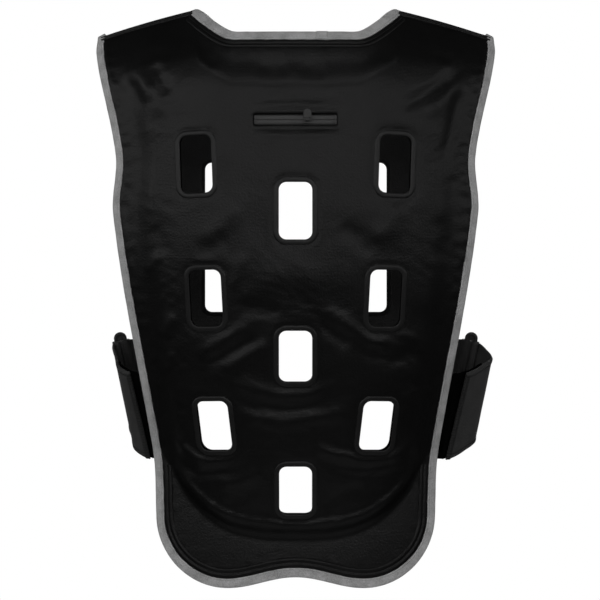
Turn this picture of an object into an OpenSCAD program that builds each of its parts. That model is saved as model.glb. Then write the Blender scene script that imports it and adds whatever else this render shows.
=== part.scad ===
// Back protector vest for a rider: a padded back panel with nine rimmed windows, bound edges,
// two open front halves, wide side straps on ring loops, a short zip across the shoulder blades
// and an open-ended front zip.
// Sizes are millimetres. x is to the right seen from behind, y is toward the wearer's front, z is up.
// The origin is midway between the two shoulder high points.

/* [Back outline] */
// Length of the back from the shoulder high points to the lowest points of the hem
back_len = 624; // [610:1:640]
// Half distance between the shoulder high points beside the neck
neck_half = 105; // [97:1:113]
// Drop of the neckline below the shoulder high points
neck_drop = 30; // [24:1:36]
// Half width at the shoulder tips
shoulder_half = 216; // [208:1:226]
// Drop of the shoulder tips below the high points
shoulder_drop = 26; // [20:1:34]
// Depth of the narrowest armhole point below the high points
armhole_depth = 158; // [150:1:166]
// Half width at the narrowest armhole point
armhole_half = 192; // [186:1:196]
// Depth of the widest chest point below the high points
chest_depth = 220; // [212:1:230]
// Half width at the widest chest point
chest_half = 195; // [191:1:201]
// Half width at the waist
waist_half = 154; // [148:1:158]
// Length of the tail below the waist
tail_len = 140; // [136:1:146]
// Half width of the tail
tail_half = 151; // [147:1:156]
// Width of the rounded tail corners
tail_corner_w = 76; // [70:1:82]
// Height of the rounded tail corners
tail_corner_h = 76; // [70:1:82]
// Rise of the hem at its middle above the two lowest points
hem_rise = 12; // [6:1:18]

/* [Back form] */
// How far the lower back sits forward of the shoulder blades
lumbar_hollow = 72; // [62:1:80]
// Depth at which the back starts to hollow
hollow_start = 240; // [230:1:250]
// How far the tail swings back out below the fold line
tail_flare = 3; // [0:1:12]
// How far the shoulders roll forward
shoulder_curl = 62; // [54:1:68]
// Depth at which the shoulders start to roll forward
curl_start = 90; // [84:1:98]
// Half width of the flat middle of the back
flat_half = 50; // [49:1:56]
// How far the sides wrap forward at the widest chest point
side_wrap = 62; // [54:1:70]

/* [Layers] */
// Thickness of the outer shell cloth
shell_t = 1.5; // [1.2:0.1:2]
// Thickness of the foam pad
pad_t = 8; // [6:0.5:10]
// Thickness of the foam pad at its skived edge
pad_edge_t = 1.2; // [0.8:0.1:1.6]
// Thickness of the lining cloth
lining_t = 1.2; // [0.9:0.1:1.6]
// Share of the back's half width that the pad covers
pad_part = 0.87; // [0.85:0.005:0.89]
// Distance from the shoulder line down to the pad's upper edge
pad_gap = 32; // [28:1:36]
// Length of the tail flap below the pad at the middle
flap_len = 62; // [56:1:68]
// Rise of the pad's lower edge at its ends
pad_rise = 62; // [54:1:68]

/* [Windows] */
// Width of each window
window_w = 35; // [31:1:38]
// Height of the four upper windows and the first middle one
window_h = 60; // [54:1:64]
// Height of the lower windows
window_low_h = 55; // [50:1:58]
// Corner radius of each window
window_r = 8; // [5:0.5:11]
// Width of the rim round each window
rim_w = 5; // [3.5:0.5:6.5]
// How far each rim stands proud of the cloth
rim_proud = 0.8; // [0.4:0.1:1.4]
// Depth of the upper pair as a share of the back's length
row1_share = 0.274; // [0.267:0.001:0.281]
// Depth of the middle pair as a share of the back's length
row2_share = 0.498; // [0.491:0.001:0.505]
// Depth of the lower pair as a share of the back's length
row3_share = 0.715; // [0.708:0.001:0.722]
// Half distance between the windows of the upper pair
row1_half = 103; // [98:1:108]
// Half distance between the windows of the middle pair
row2_half = 93; // [88:1:98]
// Half distance between the windows of the lower pair
row3_half = 85; // [80:1:88]
// Depth of the first middle window as a share of the back's length
mid1_share = 0.3525; // [0.346:0.001:0.358]
// Depth of the second middle window as a share of the back's length
mid2_share = 0.596; // [0.590:0.001:0.602]
// Depth of the third middle window as a share of the back's length
mid3_share = 0.827; // [0.821:0.001:0.833]
// Lean of the upper pair in degrees
row1_lean = 2; // [0:0.5:5]
// Lean of the middle pair in degrees
row2_lean = 0.5; // [0:0.5:4]
// Lean of the lower pair in degrees
row3_lean = 1.5; // [0:0.5:5]

/* [Folds] */
// Height of the main folds of the padded cloth
fold_h = 2.4; // [0:0.2:3.2]
// Half width of the main folds
fold_w = 14; // [11:1:18]
// Width round each window over which the folds fade out
fold_fade = 12; // [8:1:18]

/* [Binding] */
// Width of the edge binding
binding_w = 9.5; // [7:0.5:11]
// Thickness of the binding tape
binding_t = 0.8; // [0.6:0.1:1.2]
// Width of the facing strip sewn inside the binding
facing_w = 11; // [8:0.5:13]
// Thickness of the facing strip
facing_t = 0.6; // [0.4:0.1:0.8]

/* [Back zip] */
// Depth of the zip below the shoulder high points
zip_depth = 125; // [122:1:128]
// Length of the zip's opening in the shell
zip_len = 87; // [80:1:90]
// Height of the zip's opening in the shell
zip_gap = 11.5; // [10.5:0.5:13]
// Height of each zip tape
zip_tape_h = 14; // [11:0.5:15]
// Thickness of the zip tapes
zip_tape_t = 1; // [0.8:0.1:1.3]
// Position of the slider along the zip
zip_slider_x = 12.5; // [-20:0.5:20]
// Length of the pull tab
zip_pull_l = 11; // [9:0.5:14]
// Width of the pull tab
zip_pull_w = 8.4; // [7:0.2:10]

/* [Fronts] */
// Half width of the gap between the open front halves
front_gap = 42; // [38:1:46]
// Distance from the back to the front halves at their middle edges
front_y = 215; // [206:1:226]
// How far the fronts wrap back at the side edge
front_wrap = 30; // [24:1:36]
// Depth at which the front yokes start
yoke_depth = 112; // [106:1:118]
// Half width of the fronts at the yoke line
front_yoke_half = 180; // [174:1:186]
// Half width of the fronts at the armhole
front_armhole_half = 160; // [156:1:166]
// Half width of the fronts at the side edges
front_side_half = 152; // [150:1:156]
// Depth of the front hem at the middle edges
front_hem_depth = 412; // [404:1:420]
// Depth of the front hem at the side edges
front_side_depth = 466; // [462:1:474]
// Half distance between the front windows
front_window_half = 86; // [82:1:90]
// Depth of the upper front windows
front_window1_depth = 187; // [182:1:192]
// Depth of the lower front windows
front_window2_depth = 297; // [290:1:302]

/* [Side straps] */
// Width of the straps and their tabs
strap_w = 97; // [88:1:102]
// Thickness of the straps
strap_t = 2.2; // [1.8:0.1:2.8]
// How far the right strap stands out beyond its ring
strap_bulge_right = 19; // [14:1:22]
// How far the left strap stands out beyond its ring
strap_bulge_left = 1; // [0:1:8]
// How far the right strap's free end lies inside its ring
strap_reach_right = 13; // [12:1:18]
// How far the left strap's free end lies inside its ring
strap_reach_left = 18; // [14:1:20]
// Half distance between the outer ring bars
ring_half = 192; // [189:1:197]
// Position of the ring bars from the back
ring_y = 170; // [164:1:174]
// Depth of the ring bars' middle
ring_depth = 407; // [402:1:412]
// Diameter of the ring wire
ring_d = 4.5; // [3.5:0.1:5.5]
// Distance between a ring's two bars
ring_pitch = 10; // [9.5:0.1:12]
// Thickness of the tabs
tab_t = 2; // [1.6:0.1:2.4]

/* [Front zip] */
// Width of each front zip tape
front_tape_w = 12; // [10:0.5:14]
// Width of the chain of teeth
chain_w = 2.8; // [2.4:0.1:3.4]
// Thickness of the chain of teeth
chain_t = 3; // [2.6:0.1:3.6]
// Length of the front zip's pull
front_pull_l = 26; // [20:1:32]
// Width of the front zip's pull
front_pull_w = 7; // [6:0.5:9]

/* [Hidden] */
$fn = 48;
// Small gaps between sewn layers and between sliding pieces
seam_gap = 0.3;
slide_gap = 0.3;
pin_gap = 0.05;
waist_depth = back_len - tail_len;
pad_depth = back_len - flap_len;
row1_depth = row1_share * back_len;
row2_depth = row2_share * back_len;
row3_depth = row3_share * back_len;
mid1_depth = mid1_share * back_len;
mid2_depth = mid2_share * back_len;
mid3_depth = mid3_share * back_len;
corner_top = back_len - tail_corner_h;
lobe_x = tail_half - tail_corner_w;
panel_edge_t = shell_t + lining_t;
stack_t = shell_t + pad_t + lining_t;
front_t = shell_t + lining_t;
hollow_power = 1.6;
neck_flat = 66;
neck_power = 1.3;
tip_run = 20;
// Grid of the back: columns each side of the middle and rows of the tail and the back
half_cols = 10;
neck_cols = 5;
tail_rows = 3;
back_rows = 26;
pad_col = half_cols - 1;
pad_row = back_rows - 1;
// Grid of the fronts and the yokes
front_cols = 8;
front_rows = 11;
yoke_rows = 6;
tab_rows = 4;
cut_l = 60;
// Tilt of the ring bars: back at the top, outward at the top; and climb of the straps toward the rings
bar_tilt = 9;
bar_lean = 11;
strap_climb = 18;
hook_t = 0.8;
bar_r = ring_d / 2;
sleeve_in = bar_r + pin_gap;
sleeve_out = sleeve_in + 1.6;
sleeve_mid = (sleeve_in + sleeve_out) / 2;
slider_l = 9;
slider_h = 7.5;
slider_base = 2.4;
stop_w = 1.5;
post_w = 0.8;
post_gap = 1.5;
pin_r = 0.9;
barrel_r = 1.7;
barrel_l = 3.6;
ear_t = 1;
pin_rise = 2;
pull_t = 1.4;

function clamp(v, lo, hi) = min(max(v, lo), hi);
function mix(a, b, t) = a + (b - a) * t;
function ramp(t) = let (c = clamp(t, 0, 1)) c * c * (3 - 2 * c);
function unit(v) = v / norm(v);
function flat(rows) = [for (row = rows) for (p = row) p];

// Smooth curve through points given as [position, value] in rising order
function knot_slope(p, i) =
    let (a = max(i - 1, 0), b = min(i + 1, len(p) - 1))
    (p[b][1] - p[a][1]) / (p[b][0] - p[a][0]);
function span_at(p, z, i = 0) = (i >= len(p) - 2 || z <= p[i + 1][0]) ? i : span_at(p, z, i + 1);
function smooth(p, z) =
    let (
        i = span_at(p, z),
        h = p[i + 1][0] - p[i][0],
        t = clamp((z - p[i][0]) / h, 0, 1),
        a = p[i][1],
        b = p[i + 1][1],
        ma = knot_slope(p, i) * h,
        mb = knot_slope(p, i + 1) * h
    )
    a * (1 + 2 * t) * pow(1 - t, 2) + ma * t * pow(1 - t, 2) + b * t * t * (3 - 2 * t) - mb * t * t * (1 - t);

// Outline of the back
side_knots = [
    [-corner_top, tail_half],
    [-waist_depth, waist_half],
    [-chest_depth, chest_half],
    [-armhole_depth, armhole_half],
    [-(shoulder_drop + tip_run), shoulder_half],
    [-shoulder_drop, shoulder_half]
];
function corner_half(z) = lobe_x + tail_corner_w * sqrt(1 - pow(clamp((-z - corner_top) / tail_corner_h, 0, 1), 2));
function edge_half(z) = z < -corner_top ? corner_half(z) : smooth(side_knots, z);
function hem_z(x) =
    let (a = abs(x), c = clamp((a - lobe_x) / tail_corner_w, 0, 1))
    a < lobe_x
        ? -back_len + hem_rise * (1 + cos(180 * a / lobe_x)) / 2
        : -corner_top - tail_corner_h * sqrt(1 - c * c);
function top_z(x) =
    let (a = abs(x))
    a < neck_half
        ? -neck_drop * (1 - pow(clamp((a - neck_flat) / (neck_half - neck_flat), 0, 1), neck_power))
        : -shoulder_drop * (a - neck_half) / (shoulder_half - neck_half);
crease_half = edge_half(-(pad_depth - pad_rise));
function crease_depth(x) = pad_depth - pad_rise * pow(min(abs(x) / crease_half, 1), 2);

// Form of the back: the face toward the body
function hollow(x, z) =
    let (d = crease_depth(x), u = clamp((-z - hollow_start) / (d - hollow_start), 0, 1))
    lumbar_hollow * pow(u, hollow_power) - tail_flare * clamp((-z - d) / (back_len - d), 0, 1.2);
function curl(z) = shoulder_curl * pow(max(0, (z + curl_start) / curl_start), 2);
function wrap(x) = side_wrap * pow(max(0, abs(x) - flat_half) / (chest_half - flat_half), 2);
function body_y(x, z) = hollow(x, z) + curl(z) + wrap(x);
function slope_x(x, z) = (body_y(x + 1, z) - body_y(x - 1, z)) / 2;
function slope_z(x, z) = (body_y(x, z + 1) - body_y(x, z - 1)) / 2;
function body_normal(x, z) = unit([slope_x(x, z), -1, slope_z(x, z)]);
function stretch(x, z) = min(1.8, norm([slope_x(x, z), 1, slope_z(x, z)]));
function lifted(p, t) = [p[0], p[1] - t * stretch(p[0], p[2]), p[2]];

// Windows of the back as [x, depth, height, lean]
windows = [
    [-row1_half, row1_depth, window_h, row1_lean],
    [row1_half, row1_depth, window_h, -row1_lean],
    [0, mid1_depth, window_h, 0],
    [-row2_half, row2_depth, window_h, row2_lean],
    [row2_half, row2_depth, window_h, -row2_lean],
    [0, mid2_depth, window_low_h, 0],
    [-row3_half, row3_depth, window_low_h, row3_lean],
    [row3_half, row3_depth, window_low_h, -row3_lean],
    [0, mid3_depth, window_low_h, 0]
];

// Main folds of the padded cloth through three points each, given as shares of the back's half width and length:
// two on the shoulders, four across the waist and two beside the lowest window
folds = [
    [[0.81, 0.1], [0.65, 0.14], [0.5, 0.18]],
    [[-0.7, 0.12], [-0.64, 0.155], [-0.57, 0.195]],
    [[-0.32, 0.53], [-0.02, 0.478], [0.26, 0.503]],
    [[-0.62, 0.625], [-0.37, 0.587], [-0.14, 0.545]],
    [[0.14, 0.545], [0.28, 0.567], [0.43, 0.596]],
    [[-0.26, 0.648], [-0.04, 0.692], [0.27, 0.657]],
    [[-0.58, 0.76], [-0.42, 0.785], [-0.23, 0.76]],
    [[0.58, 0.76], [0.43, 0.785], [0.23, 0.76]]
];
function fold_point(q) = [q[0] * shoulder_half, -q[1] * back_len];
function line_gap(p, a, b) =
    let (d = b - a, t = clamp((p - a) * d / (d * d), 0, 1))
    norm(p - a - t * d);
function fold_gap(p, f) = min([for (k = [0, 1]) line_gap(p, fold_point(f[k]), fold_point(f[k + 1]))]);
function window_gap(p) = min([for (v = windows)
    max(abs(p[0] - v[0]) - window_w / 2 - rim_w, abs(p[1] + v[1]) - v[2] / 2 - rim_w)]);
function total(v, i = 0) = i < len(v) ? v[i] + total(v, i + 1) : 0;
function fold_lift(p) =
    clamp(window_gap(p) / fold_fade, 0, 1) * fold_h
    * total([for (f = folds) exp(-pow(fold_gap(p, f) / fold_w, 2))]);

// Grid of the back
neck_part = neck_half / shoulder_half;
function col_part(i) =
    let (a = abs(i))
    sign(i) * (a <= neck_cols ? neck_part * a / neck_cols
        : a <= pad_col ? mix(neck_part, pad_part, (a - neck_cols) / (pad_col - neck_cols))
        : 1);
function row_side_z(j) =
    j == 0 ? -corner_top - tail_corner_h * sin(45)
    : j == 1 ? -corner_top - tail_corner_h * sin(22.5)
    : j == 2 ? -corner_top
    : j > pad_row ? -shoulder_drop
    : mix(-(pad_depth - pad_rise), -(shoulder_drop + pad_gap), (j - tail_rows) / (pad_row - tail_rows));
row_z = [for (j = [0 : back_rows]) row_side_z(j)];
row_half = [for (j = [0 : back_rows]) edge_half(row_z[j])];
function back_xz(i, j) =
    let (
        s = col_part(i),
        x = s * row_half[j],
        low = hem_z(s * row_half[0]),
        fold = -crease_depth(s * row_half[tail_rows]),
        high = top_z(s * row_half[back_rows]),
        t_low = (row_z[j] - row_z[0]) / (row_z[tail_rows] - row_z[0]),
        t_high = (row_z[j] - row_z[tail_rows]) / (row_z[back_rows] - row_z[tail_rows])
    )
    [x, j <= tail_rows ? mix(low, fold, t_low) : mix(fold, high, t_high)];
function pad_at(i, j) =
    let (a = abs(i))
    (a > pad_col || j < tail_rows || j > pad_row) ? 0
    : (a == pad_col || j == tail_rows || j == pad_row) ? pad_edge_t
    : pad_t + fold_lift(back_xz(i, j));
cols = [for (i = [-half_cols : half_cols]) i];
face_body = [for (j = [0 : back_rows]) [for (i = cols) let (q = back_xz(i, j)) [q[0], body_y(q[0], q[1]), q[1]]]];
face_lining = [for (row = face_body) [for (p = row) lifted(p, lining_t)]];
pad_grid = [for (j = [0 : back_rows]) [for (i = cols) pad_at(i, j)]];
function above_lining(t) = [for (j = [0 : back_rows]) [for (i = [0 : 2 * half_cols])
    lifted(face_body[j][i], lining_t + pad_grid[j][i] + t)]];
face_pad = above_lining(0);
face_shell = above_lining(shell_t);
function part_of(grid, i0, i1, j0, j1) = [for (j = [j0 : j1]) [for (i = [i0 : i1]) grid[j][i]]];

// Closed sheet between two grids of points, the second one on the side of falling y
module sheet(far, near) {
    nc = len(far[0]);
    nr = len(far);
    n = nc * nr;
    cells = [for (j = [0 : nr - 2]) for (i = [0 : nc - 2]) j * nc + i];
    faces = concat(
        [for (a = cells) [n + a, n + a + nc, n + a + nc + 1]],
        [for (a = cells) [n + a, n + a + nc + 1, n + a + 1]],
        [for (a = cells) [a, a + nc + 1, a + nc]],
        [for (a = cells) [a, a + 1, a + nc + 1]],
        [for (i = [0 : nc - 2]) [i, i + n, i + 1 + n]],
        [for (i = [0 : nc - 2]) [i, i + 1 + n, i + 1]],
        [for (i = [n - nc : n - 2]) [i, i + 1 + n, i + n]],
        [for (i = [n - nc : n - 2]) [i, i + 1, i + 1 + n]],
        [for (j = [0 : nr - 2]) [j * nc, (j + 1) * nc, (j + 1) * nc + n]],
        [for (j = [0 : nr - 2]) [j * nc, (j + 1) * nc + n, j * nc + n]],
        [for (j = [1 : nr - 1]) [j * nc - 1, (j + 1) * nc - 1 + n, (j + 1) * nc - 1]],
        [for (j = [1 : nr - 1]) [j * nc - 1, j * nc - 1 + n, (j + 1) * nc - 1 + n]]
    );
    polyhedron(points = concat(flat(far), flat(near)), faces = faces, convexity = 8);
}

// Direction across a grid of points at one of them
function across(g, i, j) =
    let (
        a = max(i - 1, 0),
        b = min(i + 1, len(g[0]) - 1),
        c = max(j - 1, 0),
        d = min(j + 1, len(g) - 1)
    )
    unit(cross(g[j][b] - g[j][a], g[d][i] - g[c][i]));
function shifted(g, t) = [for (j = [0 : len(g) - 1]) [for (i = [0 : len(g[0]) - 1]) g[j][i] + t * across(g, i, j)]];

// Sheet of even thickness about a grid of points whose columns rise with x as its rows rise with z
module web(g, t) {
    sheet(shifted(g, -t / 2), shifted(g, t / 2));
}

// Strip swept along points, each given as [point, outward direction, direction across the cloth]
module sweep(stations, profile, caps) {
    m = len(profile);
    n = len(stations);
    points = [for (s = stations) for (q = profile) s[0] + q[0] * s[1] + q[1] * s[2]];
    last = (n - 1) * m;
    faces = concat(
        [for (k = [0 : n - 2]) for (q = [0 : m - 1]) [k * m + q, (k + 1) * m + q, k * m + (q + 1) % m]],
        [for (k = [0 : n - 2]) for (q = [0 : m - 1])
            [k * m + (q + 1) % m, (k + 1) * m + q, (k + 1) * m + (q + 1) % m]],
        [for (c = caps) [c[0], c[1], c[2]]],
        [for (c = caps) [last + c[0], last + c[2], last + c[1]]]
    );
    polyhedron(points = points, faces = faces, convexity = 8);
}
function path_way(path, k) = unit(path[min(k + 1, len(path) - 1)] - path[max(k - 1, 0)]);
function stations(path, normals) = [for (k = [0 : len(path) - 1])
    let (out = unit(cross(path_way(path, k), normals[k])))
    [path[k], out, unit(cross(out, path_way(path, k)))]];

// Folded tape round an edge of the given thickness
module bound(path, normals, edge_t) {
    lo = edge_t / 2 + seam_gap / 2;
    hi = lo + binding_t;
    web_in = seam_gap / 2;
    sweep(
        stations(path, normals),
        [
            [-binding_w, hi],
            [web_in + binding_t, hi],
            [web_in + binding_t, -hi],
            [-binding_w, -hi],
            [-binding_w, -lo],
            [web_in, -lo],
            [web_in, lo],
            [-binding_w, lo]
        ],
        [[0, 1, 6], [0, 6, 7], [1, 2, 5], [1, 5, 6], [2, 3, 4], [2, 4, 5]]
    );
}

// Flat strip beside the binding, lying on the cloth
module facing(path, normals, edge_t) {
    near = -binding_w - seam_gap;
    lo = edge_t / 2 + 0.4 * pad_edge_t + seam_gap;
    far_lo = lo + 0.5 * pad_edge_t;
    sweep(
        stations(path, normals),
        [[near - facing_w, far_lo + facing_t], [near, lo + facing_t], [near, lo], [near - facing_w, far_lo]],
        [[0, 1, 2], [0, 2, 3]]
    );
}

// Places its children on the back with local z outward and local y up along the cloth
module on_back(x, z, lift) {
    n = body_normal(x, z);
    translate([x, body_y(x, z), z] + lift * n)
        rotate([90 - asin(n[2]), 0, atan2(n[0], -n[1])])
            children();
}

module rounded(w, h, r) {
    square([w - 2 * r, h], center = true);
    square([w, h - 2 * r], center = true);
    for (sx = [-1, 1], sy = [-1, 1])
        translate([sx * (w / 2 - r), sy * (h / 2 - r)])
            circle(r = r);
}

module at_window(k) {
    v = windows[k];
    on_back(v[0], -v[1], stack_t / 2)
        rotate([0, 0, v[3]])
            children();
}
module window_cut(k, grow) {
    v = windows[k];
    at_window(k)
        linear_extrude(height = cut_l, center = true)
            rounded(window_w + 2 * grow, v[2] + 2 * grow, window_r + grow);
}
module window_rim(k) {
    v = windows[k];
    color("#34353a")
        at_window(k)
            linear_extrude(height = stack_t + 2 * rim_proud, center = true)
                difference() {
                    rounded(window_w + 2 * rim_w, v[2] + 2 * rim_w, window_r + rim_w);
                    rounded(window_w, v[2], window_r);
                }
}
module all_window_cuts() {
    for (k = [0 : len(windows) - 1])
        window_cut(k, rim_w);
}

// Places its children at the zip with local z outward from the outer face of the shell
module at_zip() {
    on_back(0, -zip_depth, stack_t)
        children();
}

module back_shell() {
    color("#26272b")
        difference() {
            sheet(face_pad, face_shell);
            all_window_cuts();
            at_zip()
                cube([zip_len, zip_gap, cut_l], center = true);
        }
}
module back_pad() {
    first = half_cols - pad_col;
    last = half_cols + pad_col;
    relief_w = zip_len + 2 * zip_end + 4;
    relief_h = 2 * zip_tape_h + post_gap + 4;
    color("#3d4248")
        difference() {
            sheet(
                part_of(face_lining, first, last, tail_rows, pad_row),
                part_of(face_pad, first, last, tail_rows, pad_row)
            );
            all_window_cuts();
            at_zip()
                cube([relief_w, relief_h, cut_l], center = true);
        }
}
module back_lining() {
    color("#2c2e33")
        difference() {
            sheet(face_body, face_lining);
            all_window_cuts();
        }
}

// Windows' rims, one piece each
module rim_row1_left() { window_rim(0); }
module rim_row1_right() { window_rim(1); }
module rim_mid1() { window_rim(2); }
module rim_row2_left() { window_rim(3); }
module rim_row2_right() { window_rim(4); }
module rim_mid2() { window_rim(5); }
module rim_row3_left() { window_rim(6); }
module rim_row3_right() { window_rim(7); }
module rim_mid3() { window_rim(8); }

// Edges of the back as [column, row] of the grid, and the middle of the cloth along them
last_col = 2 * half_cols;
function side_and_hem(top_row) = concat(
    [for (j = [top_row : -1 : 1]) [0, j]],
    [for (i = [0 : last_col]) [i, 0]],
    [for (j = [1 : top_row]) [last_col, j]]
);
lower_edge = side_and_hem(back_rows);
tail_edge = side_and_hem(tail_rows);
neck_edge = [for (i = [half_cols + neck_cols : -1 : half_cols - neck_cols]) [i, back_rows]];
function edge_path(edge) = [for (q = edge) (face_body[q[1]][q[0]] + face_shell[q[1]][q[0]]) / 2];
function edge_normals(edge) = [for (q = edge) across(face_body, q[0], q[1])];
module binding_back() {
    color("#85878c")
        bound(edge_path(lower_edge), edge_normals(lower_edge), panel_edge_t);
}
module binding_neck() {
    color("#85878c")
        bound(edge_path(neck_edge), edge_normals(neck_edge), panel_edge_t);
}
module facing_tail() {
    color("#2f3035")
        facing(edge_path(tail_edge), edge_normals(tail_edge), panel_edge_t);
}
module facing_neck() {
    color("#2f3035")
        facing(edge_path(neck_edge), edge_normals(neck_edge), panel_edge_t);
}

// Back zip, laid out on its own plane: x along the zip, y up, z outward, shell face at 0
zip_end = 5;
tape_top = -shell_t - seam_gap;
module zip_tape(side) {
    color("#3a3b40")
        at_zip()
            translate([
                -zip_len / 2 - zip_end,
                side > 0 ? post_gap / 2 : -post_gap / 2 - zip_tape_h,
                tape_top - zip_tape_t
            ])
                cube([zip_len + 2 * zip_end, zip_tape_h, zip_tape_t]);
}
module zip_tape_upper() { zip_tape(1); }
module zip_tape_lower() { zip_tape(-1); }
module zip_stops() {
    stop_h = zip_gap - 2 * slide_gap;
    color("#3a3b40")
        at_zip()
            for (s = [-1, 1])
                translate([s * (zip_len / 2 - slide_gap) - (s > 0 ? stop_w : 0), -stop_h / 2, tape_top])
                    cube([stop_w, stop_h, shell_t]);
}
slider_low = tape_top + slide_gap;
slider_top = slider_low + slider_base;
pull_z = slider_top + pin_rise;

// Two ears with a pin along x through the origin, standing on a face at the given drop
module ears(drop, depth) {
    reach = barrel_l / 2 + slide_gap;
    for (s = [-1, 1])
        translate([s > 0 ? reach : -reach - ear_t, -depth / 2, -drop])
            cube([ear_t, depth, drop + barrel_r]);
    rotate([0, 90, 0])
        cylinder(r = pin_r, h = 2 * reach + ear_t, center = true);
}
// Pull whose barrel turns on the pin and whose plate runs along y
module pull(w, l) {
    start = barrel_r + slide_gap + 0.6;
    neck_w = barrel_l - 0.6;
    difference() {
        union() {
            rotate([0, 90, 0])
                cylinder(r = barrel_r, h = barrel_l, center = true);
            translate([-neck_w / 2, 0, -pull_t / 2])
                cube([neck_w, start + 1, pull_t]);
            translate([0, 0, -pull_t / 2])
                linear_extrude(height = pull_t) {
                    translate([-w / 2, start])
                        square([w, l - start - w / 2]);
                    translate([0, l - w / 2])
                        circle(d = w);
                }
        }
        rotate([0, 90, 0])
            cylinder(r = pin_r + pin_gap, h = 2 * barrel_l, center = true);
    }
}
module zip_slider() {
    wing_t = 1.2;
    wing_top = tape_top - zip_tape_t - slide_gap;
    post_l = 4;
    color("#46474c")
        at_zip()
            translate([zip_slider_x, 0, 0])
                union() {
                    translate([-slider_l / 2, -slider_h / 2, slider_low])
                        cube([slider_l, slider_h, slider_base]);
                    translate([-slider_l / 2, -slider_h / 2, wing_top - wing_t])
                        cube([slider_l, slider_h, wing_t]);
                    translate([-post_l / 2, -post_w / 2, wing_top - wing_t / 2])
                        cube([post_l, post_w, slider_low - wing_top + wing_t]);
                    translate([0, 0, pull_z])
                        ears(pin_rise + 0.4, 2.6);
                }
}
module zip_pull() {
    color("#55565b")
        at_zip()
            translate([zip_slider_x, 0, pull_z])
                pull(zip_pull_w, zip_pull_l);
}

// Front halves, drawn for the right side; y falls from the middle edge to the side edge
armhole_fall = 90;
front_knots = [
    [-front_side_depth, front_side_half],
    [-(armhole_depth + armhole_fall), front_side_half],
    [-armhole_depth, front_armhole_half],
    [-yoke_depth, front_yoke_half]
];
hem_turn = 110;
hem_run = 30;
function front_hem(x) = -mix(front_hem_depth, front_side_depth, ramp((x - hem_turn) / hem_run));
function front_face(x) = front_y - front_wrap * pow(max(0, (x - front_gap) / (front_side_half - front_gap)), 2);
function front_slope(x) = (front_face(x + 1) - front_face(x - 1)) / 2;
function front_xz(i, j) =
    let (
        s = i / front_cols,
        low = front_hem(mix(front_gap, front_side_half, s)),
        z = mix(low, -yoke_depth, j / front_rows)
    )
    [mix(front_gap, smooth(front_knots, z), s), z];
function front_grid(t) = [for (j = [0 : front_rows]) [for (i = [0 : front_cols])
    let (q = front_xz(i, j))
    [q[0], front_face(q[0]) - t * norm([1, front_slope(q[0])]), q[1]]]];
front_outer = front_grid(0);
front_between = front_grid(shell_t);
front_inner = front_grid(front_t);
front_windows = [front_window1_depth, front_window2_depth];
module at_front(x, z) {
    translate([x, front_face(x) - front_t / 2, z])
        rotate([-90, 0, atan(front_slope(x))])
            children();
}
module front_cuts() {
    for (d = front_windows)
        at_front(front_window_half, -d)
            linear_extrude(height = cut_l, center = true)
                rounded(window_w + 2 * rim_w, window_h + 2 * rim_w, window_r + rim_w);
}
module front_shell_half() {
    color("#26272b")
        difference() {
            sheet(front_outer, front_between);
            front_cuts();
        }
}
module front_lining_half() {
    color("#2c2e33")
        difference() {
            sheet(front_between, front_inner);
            front_cuts();
        }
}
module front_rim_half(k) {
    color("#34353a")
        at_front(front_window_half, -front_windows[k])
            linear_extrude(height = front_t + 2 * rim_proud, center = true)
                difference() {
                    rounded(window_w + 2 * rim_w, window_h + 2 * rim_w, window_r + rim_w);
                    rounded(window_w, window_h, window_r);
                }
}
function front_mid(i, j) = (front_outer[j][i] + front_inner[j][i]) / 2;
front_edge = concat(
    [for (j = [front_rows : -1 : 0]) [front_cols, j]],
    [for (i = [front_cols - 1 : -1 : 0]) [i, 0]]
);
// Share of a grid step left free where two bindings meet at the yoke line
binding_end = 0.35;
module front_binding_half() {
    whole = [for (q = front_edge) front_mid(q[0], q[1])];
    path = concat([mix(whole[0], whole[1], binding_end)], [for (k = [1 : len(whole) - 1]) whole[k]]);
    color("#85878c")
        bound(path, [for (q = front_edge) -across(front_outer, q[0], q[1])], front_t);
}

// Yokes from the fronts over the shoulders, drawn for the right side
function yoke_point(i, j) =
    let (
        s = i / front_cols,
        turn = 90 * j / yoke_rows,
        low = front_mid(i, front_rows),
        x = mix(neck_half, shoulder_half, s),
        z = top_z(x),
        high = [x, body_y(x, z) + front_t / 2 + seam_gap, z]
    )
    [
        mix(low[0], high[0], j / yoke_rows),
        mix(high[1], low[1], cos(turn)),
        mix(low[2] + seam_gap, high[2] - front_t / 2, sin(turn))
    ];
yoke_grid = [for (j = [0 : yoke_rows]) [for (i = [0 : front_cols]) yoke_point(i, j)]];
module yoke_half() {
    color("#26272b")
        web(yoke_grid, front_t);
}
function yoke_edge(i) = [for (j = [0 : yoke_rows])
    j == 0 ? mix(yoke_grid[0][i], yoke_grid[1][i], binding_end) : yoke_grid[j][i]];
module yoke_binding_half() {
    neck = yoke_edge(0);
    arm = yoke_edge(front_cols);
    color("#85878c") {
        bound(
            [for (j = [yoke_rows : -1 : 0]) neck[j]],
            [for (j = [yoke_rows : -1 : 0]) across(yoke_grid, 0, j)],
            front_t
        );
        bound(arm, [for (j = [0 : yoke_rows]) across(yoke_grid, front_cols, j)], front_t);
    }
}

// Side strap, ring and tabs, drawn for the right side; local z runs up the ring bars
module at_ring() {
    translate([ring_half, ring_y, -ring_depth])
        rotate([bar_tilt, bar_lean, 0])
            children();
}
function from_ring(p) =
    let (
        y = p[1] * cos(bar_tilt) - p[2] * sin(bar_tilt),
        z = p[1] * sin(bar_tilt) + p[2] * cos(bar_tilt)
    )
    [
        ring_half + p[0] * cos(bar_lean) + z * sin(bar_lean),
        ring_y + y,
        -ring_depth - p[0] * sin(bar_lean) + z * cos(bar_lean)
    ];
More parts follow.
